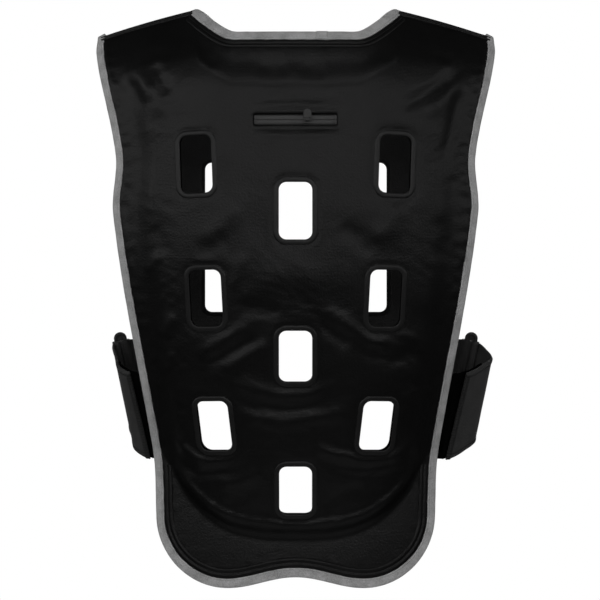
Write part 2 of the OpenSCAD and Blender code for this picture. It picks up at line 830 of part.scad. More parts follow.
// Trims a strap to a width, with its edges climbing toward the ring
trim_l = 4 * strap_w;
module climb_slab(width) {
    rotate([strap_climb, 0, 0])
        cube([trim_l, trim_l, width * cos(strap_climb)], center = true);
}
// A strap's run is how far it stands out beyond its ring and how far its end lies inside it
right_run = [strap_bulge_right, strap_reach_right];
left_run = [strap_bulge_left, strap_reach_left];
function strap_knots(run) = [
    [0, sleeve_mid, 0],
    [0.14, sleeve_mid + 0.45 * run[0], -12],
    [0.36, run[0], -30],
    [0.6, 0.45 * run[0] - 1, -53],
    [0.8, 0.2 * run[0] - 0.45 * run[1], -68],
    [1, -run[1], -80]
];
function strap_point(run, s) =
    let (k = strap_knots(run))
    [smooth([for (q = k) [q[0], q[1]]], s), smooth([for (q = k) [q[0], q[2]]], s)];
function strap_side(run, s) =
    let (d = unit(strap_point(run, min(s + 0.01, 1)) - strap_point(run, max(s - 0.01, 0))))
    [-d[1], d[0]];
function strap_line(run, lift, s0, s1, n) = [for (k = [0 : n])
    let (s = mix(s0, s1, k / n))
    strap_point(run, s) + lift * strap_side(run, s)];
function strip_outline(run, lift, t, s0, s1, n) = concat(
    strap_line(run, lift + t / 2, s0, s1, n),
    [for (k = [n : -1 : 0]) let (s = mix(s0, s1, k / n)) strap_point(run, s) + (lift - t / 2) * strap_side(run, s)]
);
strap_steps = 20;
module strap_half(run) {
    color("#1d1e21")
        at_ring()
            intersection() {
                difference() {
                    union() {
                        cylinder(r = sleeve_out, h = 2 * strap_w, center = true);
                        linear_extrude(height = 2 * strap_w, center = true)
                            polygon(strip_outline(run, 0, strap_t, 0, 1, strap_steps));
                    }
                    cylinder(r = sleeve_in, h = 3 * strap_w, center = true);
                }
                climb_slab(strap_w);
            }
}
hook_inset = 8;
hook_from = 12;
hook_to = 19;
hook_lift = -(strap_t + hook_t) / 2;
module hook_half(run) {
    color("#17181a")
        at_ring()
            intersection() {
                linear_extrude(height = 2 * strap_w, center = true)
                    polygon(strip_outline(
                        run, hook_lift, hook_t,
                        hook_from / strap_steps, hook_to / strap_steps, hook_to - hook_from
                    ));
                climb_slab(strap_w - 2 * hook_inset);
            }
}
ring_straight = strap_w + 5;
// Each rounded end of a ring is closed by a web
ring_web_t = 0.6 * ring_d;
module ring_half_piece() {
    color("#3c3d41")
        at_ring()
            union() {
                for (s = [0, -ring_pitch])
                    translate([s, 0, 0])
                        cylinder(r = bar_r, h = ring_straight, center = true);
                for (s = [-1, 1])
                    translate([-ring_pitch / 2, 0, s * ring_straight / 2])
                        rotate([s * 90, 0, 0]) {
                            rotate_extrude(angle = 180)
                                translate([ring_pitch / 2, 0])
                                    circle(r = bar_r);
                            rotate_extrude(angle = 180)
                                translate([0, -ring_web_t / 2])
                                    square([ring_pitch / 2, ring_web_t]);
                        }
            }
}
tab_lift = -(strap_t / 2 + hook_t + slide_gap + tab_t / 2);
function climb(y) = y * tan(strap_climb);
function tab_across(k) = strap_w * (k / tab_rows - 0.5);
// The tabs are sewn to the inside of the binding: distance of the tab's middle from the lining
tab_root = binding_w - 1;
tab_sewn = binding_t + tab_t / 2;
tab_clear = tab_sewn + 0.9;
function tab_row(run, k) =
    let (
        outer = [for (q = strap_line(run, tab_lift, 1, 0.55, 5)) from_ring([q[0], q[1], tab_across(k) + climb(q[1])])],
        z = outer[0][2],
        half = edge_half(z)
    )
    concat([
        [half - tab_root, body_y(half - tab_root, z) + tab_sewn, z],
        [half + 2, body_y(half, z) + tab_clear, z]
    ], outer);
module back_tab_half(run) {
    color("#111214")
        web([for (k = [0 : tab_rows]) tab_row(run, k)], tab_t);
}
front_tab_t = 0.7 * tab_t;
front_tab_sewn = front_t + binding_t + front_tab_t / 2;
front_tab_clear = front_tab_sewn + 0.9;
function front_tab_row(k) =
    let (
        start = from_ring([-ring_pitch - sleeve_mid, 0, tab_across(k)]),
        z = start[2],
        root = front_side_half - tab_root,
        lip = [front_side_half + 2, front_face(front_side_half) - front_tab_clear, z]
    )
    [
        [root, front_face(root) - front_tab_sewn, z],
        lip,
        mix(lip, start, 0.5),
        start
    ];
module front_tab_half() {
    color("#4a4b50") {
        web([for (k = [0 : tab_rows]) front_tab_row(k)], front_tab_t);
        at_ring()
            translate([-ring_pitch, 0, 0])
                linear_extrude(height = strap_w, center = true)
                    difference() {
                        circle(r = sleeve_out);
                        circle(r = sleeve_in);
                    }
    }
}

// Front zip, drawn for the right side: a straight chain beside the middle edge
zip_low = -front_hem_depth + 4;
zip_high = -yoke_depth - 3;
chain_x = front_gap - front_tape_w - chain_w;
chain_y = front_y - front_t / 2;
module front_tape_half() {
    color("#2a2b2f")
        translate([front_gap - front_tape_w, chain_y - 0.5, zip_low])
            cube([front_tape_w - seam_gap, 1, zip_high - zip_low]);
}
module front_chain_half() {
    color("#3a3b40")
        translate([chain_x, chain_y - chain_t / 2, zip_low])
            cube([chain_w, chain_t, zip_high - zip_low]);
}
slider_len = 16;
slider_plate = 2;
box_h = 9;
slider_rest = zip_low + box_h + 3;
module front_zip_box() {
    wall = 1.6;
    color("#3a3b40")
        translate([chain_x - wall - seam_gap, chain_y - chain_t / 2 - seam_gap - wall, zip_low - wall - seam_gap])
            difference() {
                cube([chain_w + 4, chain_t + 2 * (wall + seam_gap), box_h]);
                translate([wall, wall, wall])
                    cube([chain_w + 10, chain_t + 2 * seam_gap, box_h]);
            }
}
front_pin_y = chain_y + chain_t / 2 + slide_gap + slider_plate + pin_rise;
front_pin_z = slider_rest + slider_len / 2;
module front_slider() {
    inner = chain_t + 2 * slide_gap;
    wall = 2.4;
    color("#46474c")
        union() {
            translate([chain_x - slide_gap - wall, chain_y - inner / 2 - slider_plate, slider_rest])
                difference() {
                    cube([wall + chain_w + 5, inner + 2 * slider_plate, slider_len]);
                    translate([wall, slider_plate, -1])
                        cube([cut_l, inner, slider_len + 2]);
                }
            translate([chain_x + chain_w / 2, front_pin_y, front_pin_z])
                rotate([-90, 0, 0])
                    ears(pin_rise + 0.4, 3);
        }
}
module front_pull() {
    color("#55565b")
        translate([chain_x + chain_w / 2, front_pin_y, front_pin_z])
            rotate([-90, 0, 0])
                pull(front_pull_w, front_pull_l);
}

// Seam tapes over the shoulder joins
seam_w = 9;
seam_t = 0.7;
function seam_point(s) =
    let (x = mix(neck_half + 6, shoulder_half - 6, s), z = top_z(x))
    [x, body_y(x, z) - lining_t, z + seam_gap + seam_t];
module shoulder_seam_half() {
    line = [for (k = [0 : 6]) seam_point(k / 6)];
    color("#2f3035")
        sweep(
            [for (p = line) [p, [0, -1, 0], [0, 0, 1]]],
            [[-seam_w / 2, seam_t / 2], [seam_w / 2, seam_t / 2], [seam_w / 2, -seam_t / 2], [-seam_w / 2, -seam_t / 2]],
            [[0, 1, 2], [0, 2, 3]]
        );
}

module left() {
    mirror([1, 0, 0])
        children();
}
module front_shell_right() { front_shell_half(); }
module front_shell_left() { left() front_shell_half(); }
module front_lining_right() { front_lining_half(); }
module front_lining_left() { left() front_lining_half(); }
module front_rim1_right() { front_rim_half(0); }
module front_rim1_left() { left() front_rim_half(0); }
module front_rim2_right() { front_rim_half(1); }
module front_rim2_left() { left() front_rim_half(1); }
module front_binding_right() { front_binding_half(); }
module front_binding_left() { left() front_binding_half(); }
module yoke_right() { yoke_half(); }
module yoke_left() { left() yoke_half(); }
module yoke_binding_right() { yoke_binding_half(); }
module yoke_binding_left() { left() yoke_binding_half(); }
module shoulder_seam_right() { shoulder_seam_half(); }
module shoulder_seam_left() { left() shoulder_seam_half(); }
module strap_right() { strap_half(right_run); }
module strap_left() { left() strap_half(left_run); }
module hook_right() { hook_half(right_run); }
module hook_left() { left() hook_half(left_run); }
module back_tab_right() { back_tab_half(right_run); }
module back_tab_left() { left() back_tab_half(left_run); }
module ring_right() { ring_half_piece(); }
module ring_left() { left() ring_half_piece(); }
module front_tab_right() { front_tab_half(); }
module front_tab_left() { left() front_tab_half(); }
module front_tape_right() { front_tape_half(); }
module front_tape_left() { left() front_tape_half(); }
module front_chain_right() { front_chain_half(); }
module front_chain_left() { left() front_chain_half(); }

back_shell();
back_pad();
back_lining();
rim_row1_left();
rim_row1_right();
rim_mid1();
rim_row2_left();
rim_row2_right();
rim_mid2();
rim_row3_left();
rim_row3_right();
rim_mid3();
binding_back();
binding_neck();
facing_tail();
facing_neck();
zip_tape_upper();
zip_tape_lower();
zip_stops();
zip_slider();
zip_pull();
shoulder_seam_left();
shoulder_seam_right();
front_shell_left();
front_shell_right();
front_lining_left();
front_lining_right();
front_rim1_left();
front_rim1_right();
front_rim2_left();
front_rim2_right();
front_binding_left();
front_binding_right();
yoke_left();
yoke_right();
yoke_binding_left();
yoke_binding_right();
strap_left();
strap_right();
hook_left();
hook_right();
back_tab_left();
back_tab_right();
ring_left();
ring_right();
front_tab_left();
front_tab_right();
front_tape_left();
front_tape_right();
front_chain_left();
front_chain_right();
front_zip_box();
front_slider();
front_pull();
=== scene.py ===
"""Looks of the vest-style back protector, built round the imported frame.

Lengths in the functions are millimetres and become metres when a mesh is made.
x is to the right seen from behind, y is toward the wearer's front, z is up.
"""
import math

import bmesh
import bpy
import numpy as np
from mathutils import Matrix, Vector, noise
from mathutils.geometry import delaunay_2d_cdt


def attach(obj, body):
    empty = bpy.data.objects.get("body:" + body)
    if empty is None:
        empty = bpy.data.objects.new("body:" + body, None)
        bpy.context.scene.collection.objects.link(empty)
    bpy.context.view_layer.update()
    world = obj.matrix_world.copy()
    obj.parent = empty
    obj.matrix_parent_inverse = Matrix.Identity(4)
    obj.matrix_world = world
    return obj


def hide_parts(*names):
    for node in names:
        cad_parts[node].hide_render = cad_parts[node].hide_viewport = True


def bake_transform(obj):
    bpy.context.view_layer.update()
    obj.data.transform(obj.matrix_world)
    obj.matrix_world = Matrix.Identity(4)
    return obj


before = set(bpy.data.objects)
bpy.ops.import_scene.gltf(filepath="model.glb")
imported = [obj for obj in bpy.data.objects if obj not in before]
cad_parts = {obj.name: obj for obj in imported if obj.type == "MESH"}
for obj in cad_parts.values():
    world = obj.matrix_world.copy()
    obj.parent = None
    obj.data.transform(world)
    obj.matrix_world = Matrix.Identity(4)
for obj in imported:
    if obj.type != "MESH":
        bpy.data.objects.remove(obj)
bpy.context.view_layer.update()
MM = 0.001

# Camera: level, square to the back
VIEW_DISTANCE = 2.4
VIEW_WIDTH = 0.63
VIEW_X = 0.0047
VIEW_Z = -0.3135

# Outline of the back
BACK_LEN = 624.0
NECK_HALF = 105.0
NECK_DROP = 30.0
NECK_FLAT = 66.0
NECK_POWER = 1.3
SHOULDER_HALF = 216.0
SHOULDER_DROP = 26.0
TIP_RUN = 20.0
ARMHOLE_DEPTH = 158.0
ARMHOLE_HALF = 192.0
CHEST_DEPTH = 220.0
CHEST_HALF = 195.0
TAIL_LEN = 140.0
WAIST_HALF = 154.0
TAIL_HALF = 151.0
TAIL_CORNER_W = 76.0
TAIL_CORNER_H = 76.0
HEM_RISE = 12.0
CORNER_TOP = BACK_LEN - TAIL_CORNER_H
LOBE_X = TAIL_HALF - TAIL_CORNER_W

# Form and layers of the back
LUMBAR_HOLLOW = 72.0
HOLLOW_START = 240.0
HOLLOW_POWER = 1.6
HOLLOW_ROUND = 0.12
TAIL_FLARE = 6.5
TAIL_ROLL = 4.5
FALL_MOST = 1.2
SHOULDER_CURL = 62.0
CURL_START = 90.0
CURL_ROUND = 20.0
FLAT_HALF = 50.0
SIDE_WRAP = 62.0
WRAP_ROUND = 30.0
STRETCH_MOST = 1.8
SHELL_T = 1.5
PAD_T = 8.0
LINING_T = 1.2
PAD_PART = 0.87
FLAP_LEN = 62.0
PAD_RISE = 62.0
PAD_DEPTH = BACK_LEN - FLAP_LEN
STACK_T = SHELL_T + PAD_T + LINING_T
EDGE_T = SHELL_T + LINING_T

# Skived edges of the pad, as shares of the half width and of the height
PAD_SIDE_MORE = 0.015
PAD_SIDE_EASE = 0.125
PAD_TOP = 0.945
PAD_TOP_EASE = 0.06
PAD_LOW_MORE = 0.016
PAD_LOW_EASE = 0.03

# Crease above the tail flap and the rolled edge of the pad over it
CREASE_REACH = 130.0
CREASE_MOST = 1.12
CREASE_POWER = 3.2
CREASE_DROP = 3.0
ROLL_RISE = 11.0
ROLL_W = 5.0
ROLL_H = 2.6
ROLL_FADE = 25.0

# Windows as (x, depth, height, lean) and their node
WINDOW_W = 35.0
WINDOW_R = 8.0
RIM_W = 5.0
WINDOWS = {
    "rim_row1_left": (-103.0, 171.0, 60.0, 2.0),
    "rim_row1_right": (103.0, 171.0, 60.0, -2.0),
    "rim_mid1": (0.0, 220.0, 60.0, 0.0),
    "rim_row2_left": (-93.0, 310.8, 60.0, 0.5),
    "rim_row2_right": (93.0, 310.8, 60.0, -0.5),
    "rim_mid2": (0.0, 371.9, 55.0, 0.0),
    "rim_row3_left": (-85.0, 446.2, 55.0, 1.5),
    "rim_row3_right": (85.0, 446.2, 55.0, -1.5),
    "rim_mid3": (0.0, 516.0, 55.0, 0.0),
}

# Binding and facing
BINDING_W = 9.5
BINDING_T = 0.8
NECK_BINDING_PART = 1.22
NECK_LAP = 8.0

# Back zip
ZIP_DEPTH = 125.0
ZIP_LEN = 87.0
ZIP_GAP = 11.5
ZIP_CORNER = 1.5

# Fronts
FRONT_GAP = 42.0
FRONT_Y = 215.0
FRONT_WRAP = 30.0
YOKE_DEPTH = 112.0
FRONT_YOKE_HALF = 180.0
FRONT_ARMHOLE_HALF = 160.0
FRONT_SIDE_HALF = 152.0
FRONT_HEM_DEPTH = 412.0
FRONT_SIDE_DEPTH = 466.0
HEM_TURN = 110.0
HEM_RUN = 30.0
FRONT_WINDOW_X = 86.0
FRONT_WINDOW_DEPTHS = (187.0, 297.0)
FRONT_WINDOW_H = 60.0
FRONT_T = SHELL_T + LINING_T
YOKE_RUN = 172.0

# Side straps and rings
STRAP_W = 97.0
STRAP_T = 2.2
STRAP_RUN = {1: (19.0, 13.0), -1: (1.0, 18.0)}
RING_HALF = 192.0
RING_Y = 170.0
RING_DEPTH = 407.0
RING_D = 4.5
RING_PITCH = 10.0
BAR_TILT = math.radians(9)
BAR_LEAN = math.radians(11)
STRAP_CLIMB = math.tan(math.radians(18))
SLEEVE_MID = RING_D / 2 + 0.85
SLEEVE_OUT = RING_PITCH / 2 - 0.15
TAB_T = 2.0
HOOK_T = 0.8
SIDE_NAME = {1: "right", -1: "left"}


# Small maths
def clamp(v, lo, hi):
    return np.minimum(np.maximum(v, lo), hi)


def mix(a, b, t):
    return a + (b - a) * t


def ramp(t):
    t = clamp(t, 0.0, 1.0)
    return t * t * (3 - 2 * t)


def setting_in(gap, start, run):
    """Smooth rise from 0 to 1 over a run that starts at one place of a gap."""
    return ramp((gap - start) / run)


def bump(gap, height, place, width):
    """Rounded ridge, or groove where the height is negative, at one place of a gap."""
    return height * np.exp(-(((gap - place) / width) ** 2))


def unit(v):
    return v / np.linalg.norm(v, axis=-1, keepdims=True)


def stacked(*parts):
    """Points from their coordinates, which are spread to one shape."""
    return np.stack(np.broadcast_arrays(*parts), axis=-1)


def run_length(path):
    """Distance along a line at each of its points."""
    return np.concatenate([[0], np.cumsum(np.linalg.norm(np.diff(path, axis=0), axis=1))])


def picked(spots, at, values):
    """Values between the points of a line, at distances along it."""
    return np.stack([np.interp(spots, at, values[:, k]) for k in range(values.shape[1])], axis=-1)


def smooth(knots, v):
    """Smooth curve through (position, value) knots in rising order."""
    pos = np.array([k[0] for k in knots], float)
    val = np.array([k[1] for k in knots], float)
    low = np.maximum(np.arange(len(pos)) - 1, 0)
    high = np.minimum(np.arange(len(pos)) + 1, len(pos) - 1)
    slope = (val[high] - val[low]) / (pos[high] - pos[low])
    v = np.asarray(v, float)
    i = clamp(np.searchsorted(pos, v, side="left") - 1, 0, len(pos) - 2)
    h = pos[i + 1] - pos[i]
    t = clamp((v - pos[i]) / h, 0.0, 1.0)
    start = val[i] * (1 + 2 * t) * (1 - t) ** 2 + slope[i] * h * t * (1 - t) ** 2
    return start + val[i + 1] * t * t * (3 - 2 * t) - slope[i + 1] * h * t * t * (1 - t)


def grain(points, size, seed):
    """Soft seeded noise from -1 to 1 at each point, with features of the given size."""
    shift = Vector((seed * 17.3, seed * 5.1, seed * 9.7))
    return np.array([noise.noise(Vector(p) / size + shift) for p in points])


def flat_grain(x, z, size, seed):
    return grain(stacked(x, z, 0.0), size, seed)


def grid_grain(grid, size, height, seed):
    """Soft seeded noise of a height over a grid of points."""
    return grain(grid.reshape(-1, 3), size, seed).reshape(grid.shape[:2]) * height


# Outline of the back
SIDE_KNOTS = [
    (-CORNER_TOP, TAIL_HALF),
    (-(BACK_LEN - TAIL_LEN), WAIST_HALF),
    (-CHEST_DEPTH, CHEST_HALF),
    (-ARMHOLE_DEPTH, ARMHOLE_HALF),
    (-(SHOULDER_DROP + TIP_RUN), SHOULDER_HALF),
    (-SHOULDER_DROP, SHOULDER_HALF),
]


def edge_half(z):
    z = np.asarray(z, float)
    share = clamp((-z - CORNER_TOP) / TAIL_CORNER_H, 0.0, 1.0)
    corner = LOBE_X + TAIL_CORNER_W * np.sqrt(1 - share**2)
    return np.where(z < -CORNER_TOP, corner, smooth(SIDE_KNOTS, z))


def hem_z(x):
    a = np.abs(x)
    c = clamp((a - LOBE_X) / TAIL_CORNER_W, 0.0, 1.0)
    middle = -BACK_LEN + HEM_RISE * (1 + np.cos(np.pi * a / LOBE_X)) / 2
    return np.where(a < LOBE_X, middle, -CORNER_TOP - TAIL_CORNER_H * np.sqrt(1 - c * c))


def top_z(x):
    a = np.abs(x)
    rise = clamp((a - NECK_FLAT) / (NECK_HALF - NECK_FLAT), 0.0, 1.0) ** NECK_POWER
    shoulder = -SHOULDER_DROP * (a - NECK_HALF) / (SHOULDER_HALF - NECK_HALF)
    return np.where(a < NECK_HALF, -NECK_DROP * (1 - rise), shoulder)


def crease_depth(x):
    """Depth at which the tail flap is folded: nearly level, and rising fast toward the sides."""
    rise = np.minimum(np.abs(x) / CREASE_REACH, CREASE_MOST) ** CREASE_POWER
    return PAD_DEPTH + CREASE_DROP - PAD_RISE * rise


# Form of the back
def soft_part(t, width):
    """Positive part of a value, with its corner rounded off."""
    return (t + np.sqrt(t * t + width * width)) / 2


def body_y(x, z):
    """Face of the lining toward the body."""
    depth = crease_depth(x)
    share = soft_part((-z - HOLLOW_START) / (depth - HOLLOW_START), HOLLOW_ROUND)
    fall = clamp((-z - depth) / (BACK_LEN - depth), 0.0, FALL_MOST)
    flare = (TAIL_FLARE - TAIL_ROLL * fall) * fall
    hollow = LUMBAR_HOLLOW * np.minimum(share, 1.0) ** HOLLOW_POWER - flare
    curl = SHOULDER_CURL * (soft_part(z + CURL_START, CURL_ROUND) / CURL_START) ** 2
    wrap = SIDE_WRAP * (soft_part(np.abs(x) - FLAT_HALF, WRAP_ROUND) / (CHEST_HALF - FLAT_HALF)) ** 2
    return hollow + curl + wrap


def slopes(surface, x, z, step=1.0):
    return (
        (surface(x + step, z) - surface(x - step, z)) / (2 * step),
        (surface(x, z + step) - surface(x, z - step)) / (2 * step),
    )


def normals(surface, x, z, step=1.0):
    """Directions away from the body."""
    sx, sz = slopes(surface, x, z, step)
    return unit(stacked(sx, -1.0, sz))


def stretch(x, z):
    sx, sz = slopes(body_y, x, z)
    return np.minimum(STRETCH_MOST, np.sqrt(1 + sx**2 + sz**2))


def pad_thickness(x, z):
    """Crowned pad, drawn in to nothing at its skived edges."""
    across = np.abs(x) / edge_half(z)
    low = -crease_depth(x)
    up = (z - low) / (top_z(x) - low)
    side = ramp((PAD_PART + PAD_SIDE_MORE - across) / PAD_SIDE_EASE)
    top = ramp((PAD_TOP - up) / PAD_TOP_EASE)
    bottom = ramp((up + PAD_LOW_MORE) / PAD_LOW_EASE)
    return PAD_T * side * top * bottom


def window_frame(window):
    """Middle of a window's tangent plane and its directions across, along and outward."""
    x, depth, _, lean = window
    n = normals(body_y, np.array(x), np.array(-depth))
    turn = math.atan2(n[0], -n[1])
    flat = math.sqrt(1 - n[2] ** 2)
    across = np.array([math.cos(turn), math.sin(turn), 0.0])
    along = np.array([-math.sin(turn) * n[2], math.cos(turn) * n[2], flat])
    c, s = math.cos(math.radians(lean)), math.sin(math.radians(lean))
    middle = np.array([x, float(body_y(np.array(x), np.array(-depth))), -depth]) + STACK_T / 2 * n
    return middle, c * across + s * along, c * along - s * across, n


FRAMES = {name: window_frame(window) for name, window in WINDOWS.items()}


def rounded_gap(u, v, w, h, r):
    """Distance outside a rounded rectangle, negative inside."""
    du, dv = np.abs(u) - w / 2 + r, np.abs(v) - h / 2 + r
    outside = np.hypot(np.maximum(du, 0), np.maximum(dv, 0))
    return outside + np.minimum(np.maximum(du, dv), 0) - r


def window_gap(x, z):
    """Distance from the outer edge of the nearest window rim."""
    best = np.full(np.shape(x), 1e9)
    for name, (_, _, h, _) in WINDOWS.items():
        middle, across, along, _ = FRAMES[name]
        dx, dz = x - middle[0], z - middle[2]
        det = across[0] * along[2] - across[2] * along[0]
        u = (dx * along[2] - dz * along[0]) / det
        v = (dz * across[0] - dx * across[2]) / det
        best = np.minimum(best, rounded_gap(u, v, WINDOW_W, h, WINDOW_R) - RIM_W)
    return best


# Folds and wrinkles of the padded cloth: points (x, depth), half width and height of each
SHOULDER_WRINKLES = [
    ([(-184, 62), (-164, 82), (-152, 106)], 8, 1.9),
    ([(-177, 78), (-168, 95), (-160, 112)], 6, -1.6),
    ([(-151, 60), (-142, 80), (-131, 98)], 7, -2.1),
    ([(-154, 78), (-148, 98), (-141, 122)], 9, 1.7),
    ([(-103, 34), (-96, 56), (-82, 70)], 6, -1.6),
    ([(-40, 63), (-22, 73), (-5, 67)], 10, -1.2),
    ([(191, 50), (164, 78), (141, 94), (108, 113)], 8, -2.4),
    ([(184, 74), (162, 98), (134, 118)], 10, 1.8),
    ([(177, 84), (169, 114), (162, 146), (155, 164)], 6, -1.8),
    ([(176, 134), (167, 162), (163, 190)], 7, 1.5),
    ([(116, 24), (106, 46), (92, 66)], 7, -1.6),
    ([(4, 66), (20, 75), (34, 72)], 10, -1.2),
    ([(-44, 110), (0, 109), (42, 110)], 3.5, -1.0),
    ([(-44, 140), (0, 141), (42, 140)], 3.5, -1.0),
]
WAIST_WRINKLES = [
    ([(-97, 259), (-77, 235), (-58, 211)], 11, 1.4),
    ([(-154, 234), (-144, 250), (-142, 269)], 11, -1.4),
    ([(-108, 267), (-88, 257), (-70, 245)], 10, -1.3),
    ([(46, 232), (66, 250), (83, 268)], 10, -1.7),
    ([(78, 252), (99, 238), (113, 213)], 11, 1.5),
    ([(150, 222), (158, 250), (152, 276)], 11, -1.4),
    ([(-161, 285), (-151, 274), (-139, 262)], 6, 1.5),
    ([(-145, 354), (-136, 341), (-127, 327)], 6, 1.7),
    ([(-143, 394), (-136, 381), (-129, 365)], 7.5, 1.4),
    ([(-72, 304), (-62, 284), (-50, 262)], 7.5, 1.3),
    ([(-50, 296), (-6, 286), (43, 297)], 18.5, 1.5),
    ([(-62, 320), (-35, 324), (-12, 328)], 8.5, -1.9),
    ([(-106, 375), (-77, 356), (-46, 338)], 7.5, 2),
    ([(-97, 384), (-67, 368), (-37, 352)], 6, -1.5),
    ([(-79, 390), (-48, 370), (-23, 357)], 7.5, 1.9),
    ([(22, 336), (40, 349), (61, 363)], 7.5, -1.9),
    ([(26, 319), (52, 337), (80, 356), (114, 365)], 7.5, 2.1),
    ([(106, 346), (118, 352), (131, 355)], 6, 1.5),
    ([(66, 368), (104, 377), (133, 367)], 8.5, -1.5),
    ([(-73, 397), (-43, 409), (-14, 414), (15, 412), (38, 405)], 7.5, 1.7),
    ([(-76, 409), (-48, 425), (-6, 430), (38, 420)], 7.5, -1.5),
    ([(-64, 420), (-46, 436), (-20, 445), (5, 441), (28, 438), (47, 434), (65, 417)], 8.5, 1.9),
]
TAIL_WRINKLES = [
    ([(-135, 450), (-124, 471), (-105, 483), (-80, 482), (-52, 470)], 6, 2.8),
    ([(-144, 460), (-127, 486), (-103, 500), (-62, 494)], 7, -2.2),
    ([(14, 466), (42, 478), (68, 483), (102, 482), (125, 468)], 6, 2.6),
    ([(34, 490), (79, 495), (118, 485)], 7, -2.0),
    ([(-86, 512), (-58, 508), (-33, 493)], 8, 2.0),
    ([(24, 538), (47, 523), (76, 511)], 7, -1.6),
]
WRINKLES = SHOULDER_WRINKLES + WAIST_WRINKLES + TAIL_WRINKLES
FOLD_TAPER = 0.25
FOLD_END = 0.18
FOLD_CLEAR = 10.0
PRESSED = -0.2


def line_distance(x, z, points):
    """Distance to a line through points and the share of its length at the nearest place."""
    q = np.array([(px, -depth) for px, depth in points], float)
    starts = run_length(q)
    best = np.full(np.shape(x), 1e9)
    share = np.zeros(np.shape(x))
    for k, length in enumerate(np.diff(starts)):
        d = (q[k + 1] - q[k]) / length
        t = clamp((x - q[k, 0]) * d[0] + (z - q[k, 1]) * d[1], 0.0, length)
        gap = np.hypot(x - q[k, 0] - t * d[0], z - q[k, 1] - t * d[1])
        nearer = gap < best
        best = np.where(nearer, gap, best)
        share = np.where(nearer, (starts[k] + t) / starts[-1], share)
    return best, share


def folded(total, x, z, lines, end):
    """Adds folds to a height; end is the share of their height that is left at their ends."""
    for points, width, height in lines:
        gap, share = line_distance(x, z, points)
        fade = ramp(share / FOLD_TAPER) * ramp((1 - share) / FOLD_TAPER) * (1 - end) + end
        total = total + bump(gap, height * fade, 0.0, width)
    return total


def crease_roll(x, z):
    gap = -z - crease_depth(x) + ROLL_RISE
    return bump(gap, ROLL_H, 0.0, ROLL_W) * ramp((CREASE_REACH - np.abs(x)) / ROLL_FADE)


def wrinkle_lift(x, z):
    total = folded(crease_roll(x, z), x, z, WRINKLES, FOLD_END)
    inset = edge_half(z) - np.abs(x)
    clear = setting_in(window_gap(x, z), 1.0, FOLD_CLEAR)
    return total * clear * setting_in(inset, FOLD_CLEAR, FOLD_CLEAR)


def shell_lift(x, z):
    return LINING_T + SHELL_T + np.maximum(pad_thickness(x, z) + wrinkle_lift(x, z), PRESSED)


def shell_y(x, z):
    """Outer face of the shell cloth."""
    return body_y(x, z) - shell_lift(x, z) * stretch(x, z)


def shell_point(x, z, lift=0.0):
    x, z = np.asarray(x, float), np.asarray(z, float)
    base = stacked(x, shell_y(x, z), z)
    return base + np.asarray(lift)[..., None] * normals(shell_y, x, z)


# Loops and triangulated panels
def resample(points, step):
    p = np.asarray(points, float)
    at = run_length(p)
    count = max(2, int(round(at[-1] / step)))
    return picked(np.linspace(0, at[-1], count + 1), at, p)


CORNERS = ((1, 1, 0), (-1, 1, 90), (-1, -1, 180), (1, -1, 270))


def dense_loop(w, h, r, step):
    """Points round a rounded rectangle, turning left, and their outward directions."""
    points, outs = [], []
    arc = max(4, int(r * math.pi / 2 / step))
    for sx, sy, start in CORNERS:
        for k in range(arc + 1):
            a = math.radians(start + 90 * k / arc)
            out = np.array([math.cos(a), math.sin(a)])
            points.append(np.array([sx * (w / 2 - r), sy * (h / 2 - r)]) + r * out)
            outs.append(out)
    result, result_outs = [], []
    for k, point in enumerate(points):
        nxt = (k + 1) % len(points)
        parts = max(1, int(np.linalg.norm(points[nxt] - point) / step))
        for j in range(parts):
            result.append(mix(point, points[nxt], j / parts))
            result_outs.append(unit(mix(outs[k], outs[nxt], j / parts)))
    return np.array(result), np.array(result_outs)


def on_plane(name, uv):
    middle, across, along, _ = FRAMES[name]
    return middle + uv[:, :1] * across + uv[:, 1:] * along


def inside(points, loop):
    x, z = points[:, 0], points[:, 1]
    hit = np.zeros(len(points), bool)
    for (x0, z0), (x1, z1) in zip(loop, np.roll(loop, -1, axis=0)):
        if z0 != z1:
            hit ^= ((z0 > z) != (z1 > z)) & (x < x0 + (z - z0) * (x1 - x0) / (z1 - z0))
    return hit


def within(points, outline, holes):
    """Which points lie inside an outline and outside its holes."""
    keep = inside(points, outline)
    for hole in holes:
        keep &= ~inside(points, hole)
    return keep


CHUNK = 4000


def near(points, loop, limit):
    """Which points lie within a distance of the points of a loop."""
    result = np.zeros(len(points), bool)
    for start in range(0, len(points), CHUNK):
        p = points[start : start + CHUNK]
        gap = np.hypot(p[:, :1] - loop[:, 0], p[:, 1:] - loop[:, 1]).min(axis=1)
        result[start : start + CHUNK] = gap < limit
    return result


ROW_SHARE = 0.866
LOOP_CLEAR = 0.6


def panel(outline, holes, step):
    """Even triangles over an outline with holes: points (x, z) and faces that turn left."""
    loops = [outline, *holes]
    low, high = outline.min(axis=0), outline.max(axis=0)
    grid = []
    for k, z in enumerate(np.arange(low[1], high[1], step * ROW_SHARE)):
        grid.append(stacked(np.arange(low[0] + (k % 2) * step / 2, high[0], step), z))
    points = np.vstack(grid)
    points = points[within(points, outline, holes)]
    for loop in loops:
        points = points[~near(points, loop, LOOP_CLEAR * step)]
    edges, start = [], 0
    for loop in loops:
        edges += [(start + k, start + (k + 1) % len(loop)) for k in range(len(loop))]
        start += len(loop)
    everything = np.vstack([*loops, points])
    found = delaunay_2d_cdt([Vector(p) for p in everything], edges, [], 0, 1e-4)
    verts = np.array([tuple(v) for v in found[0]])
    faces = np.array([f for f in found[2] if len(f) == 3])
    return verts, faces[within(verts[faces].mean(axis=1), outline, holes)]


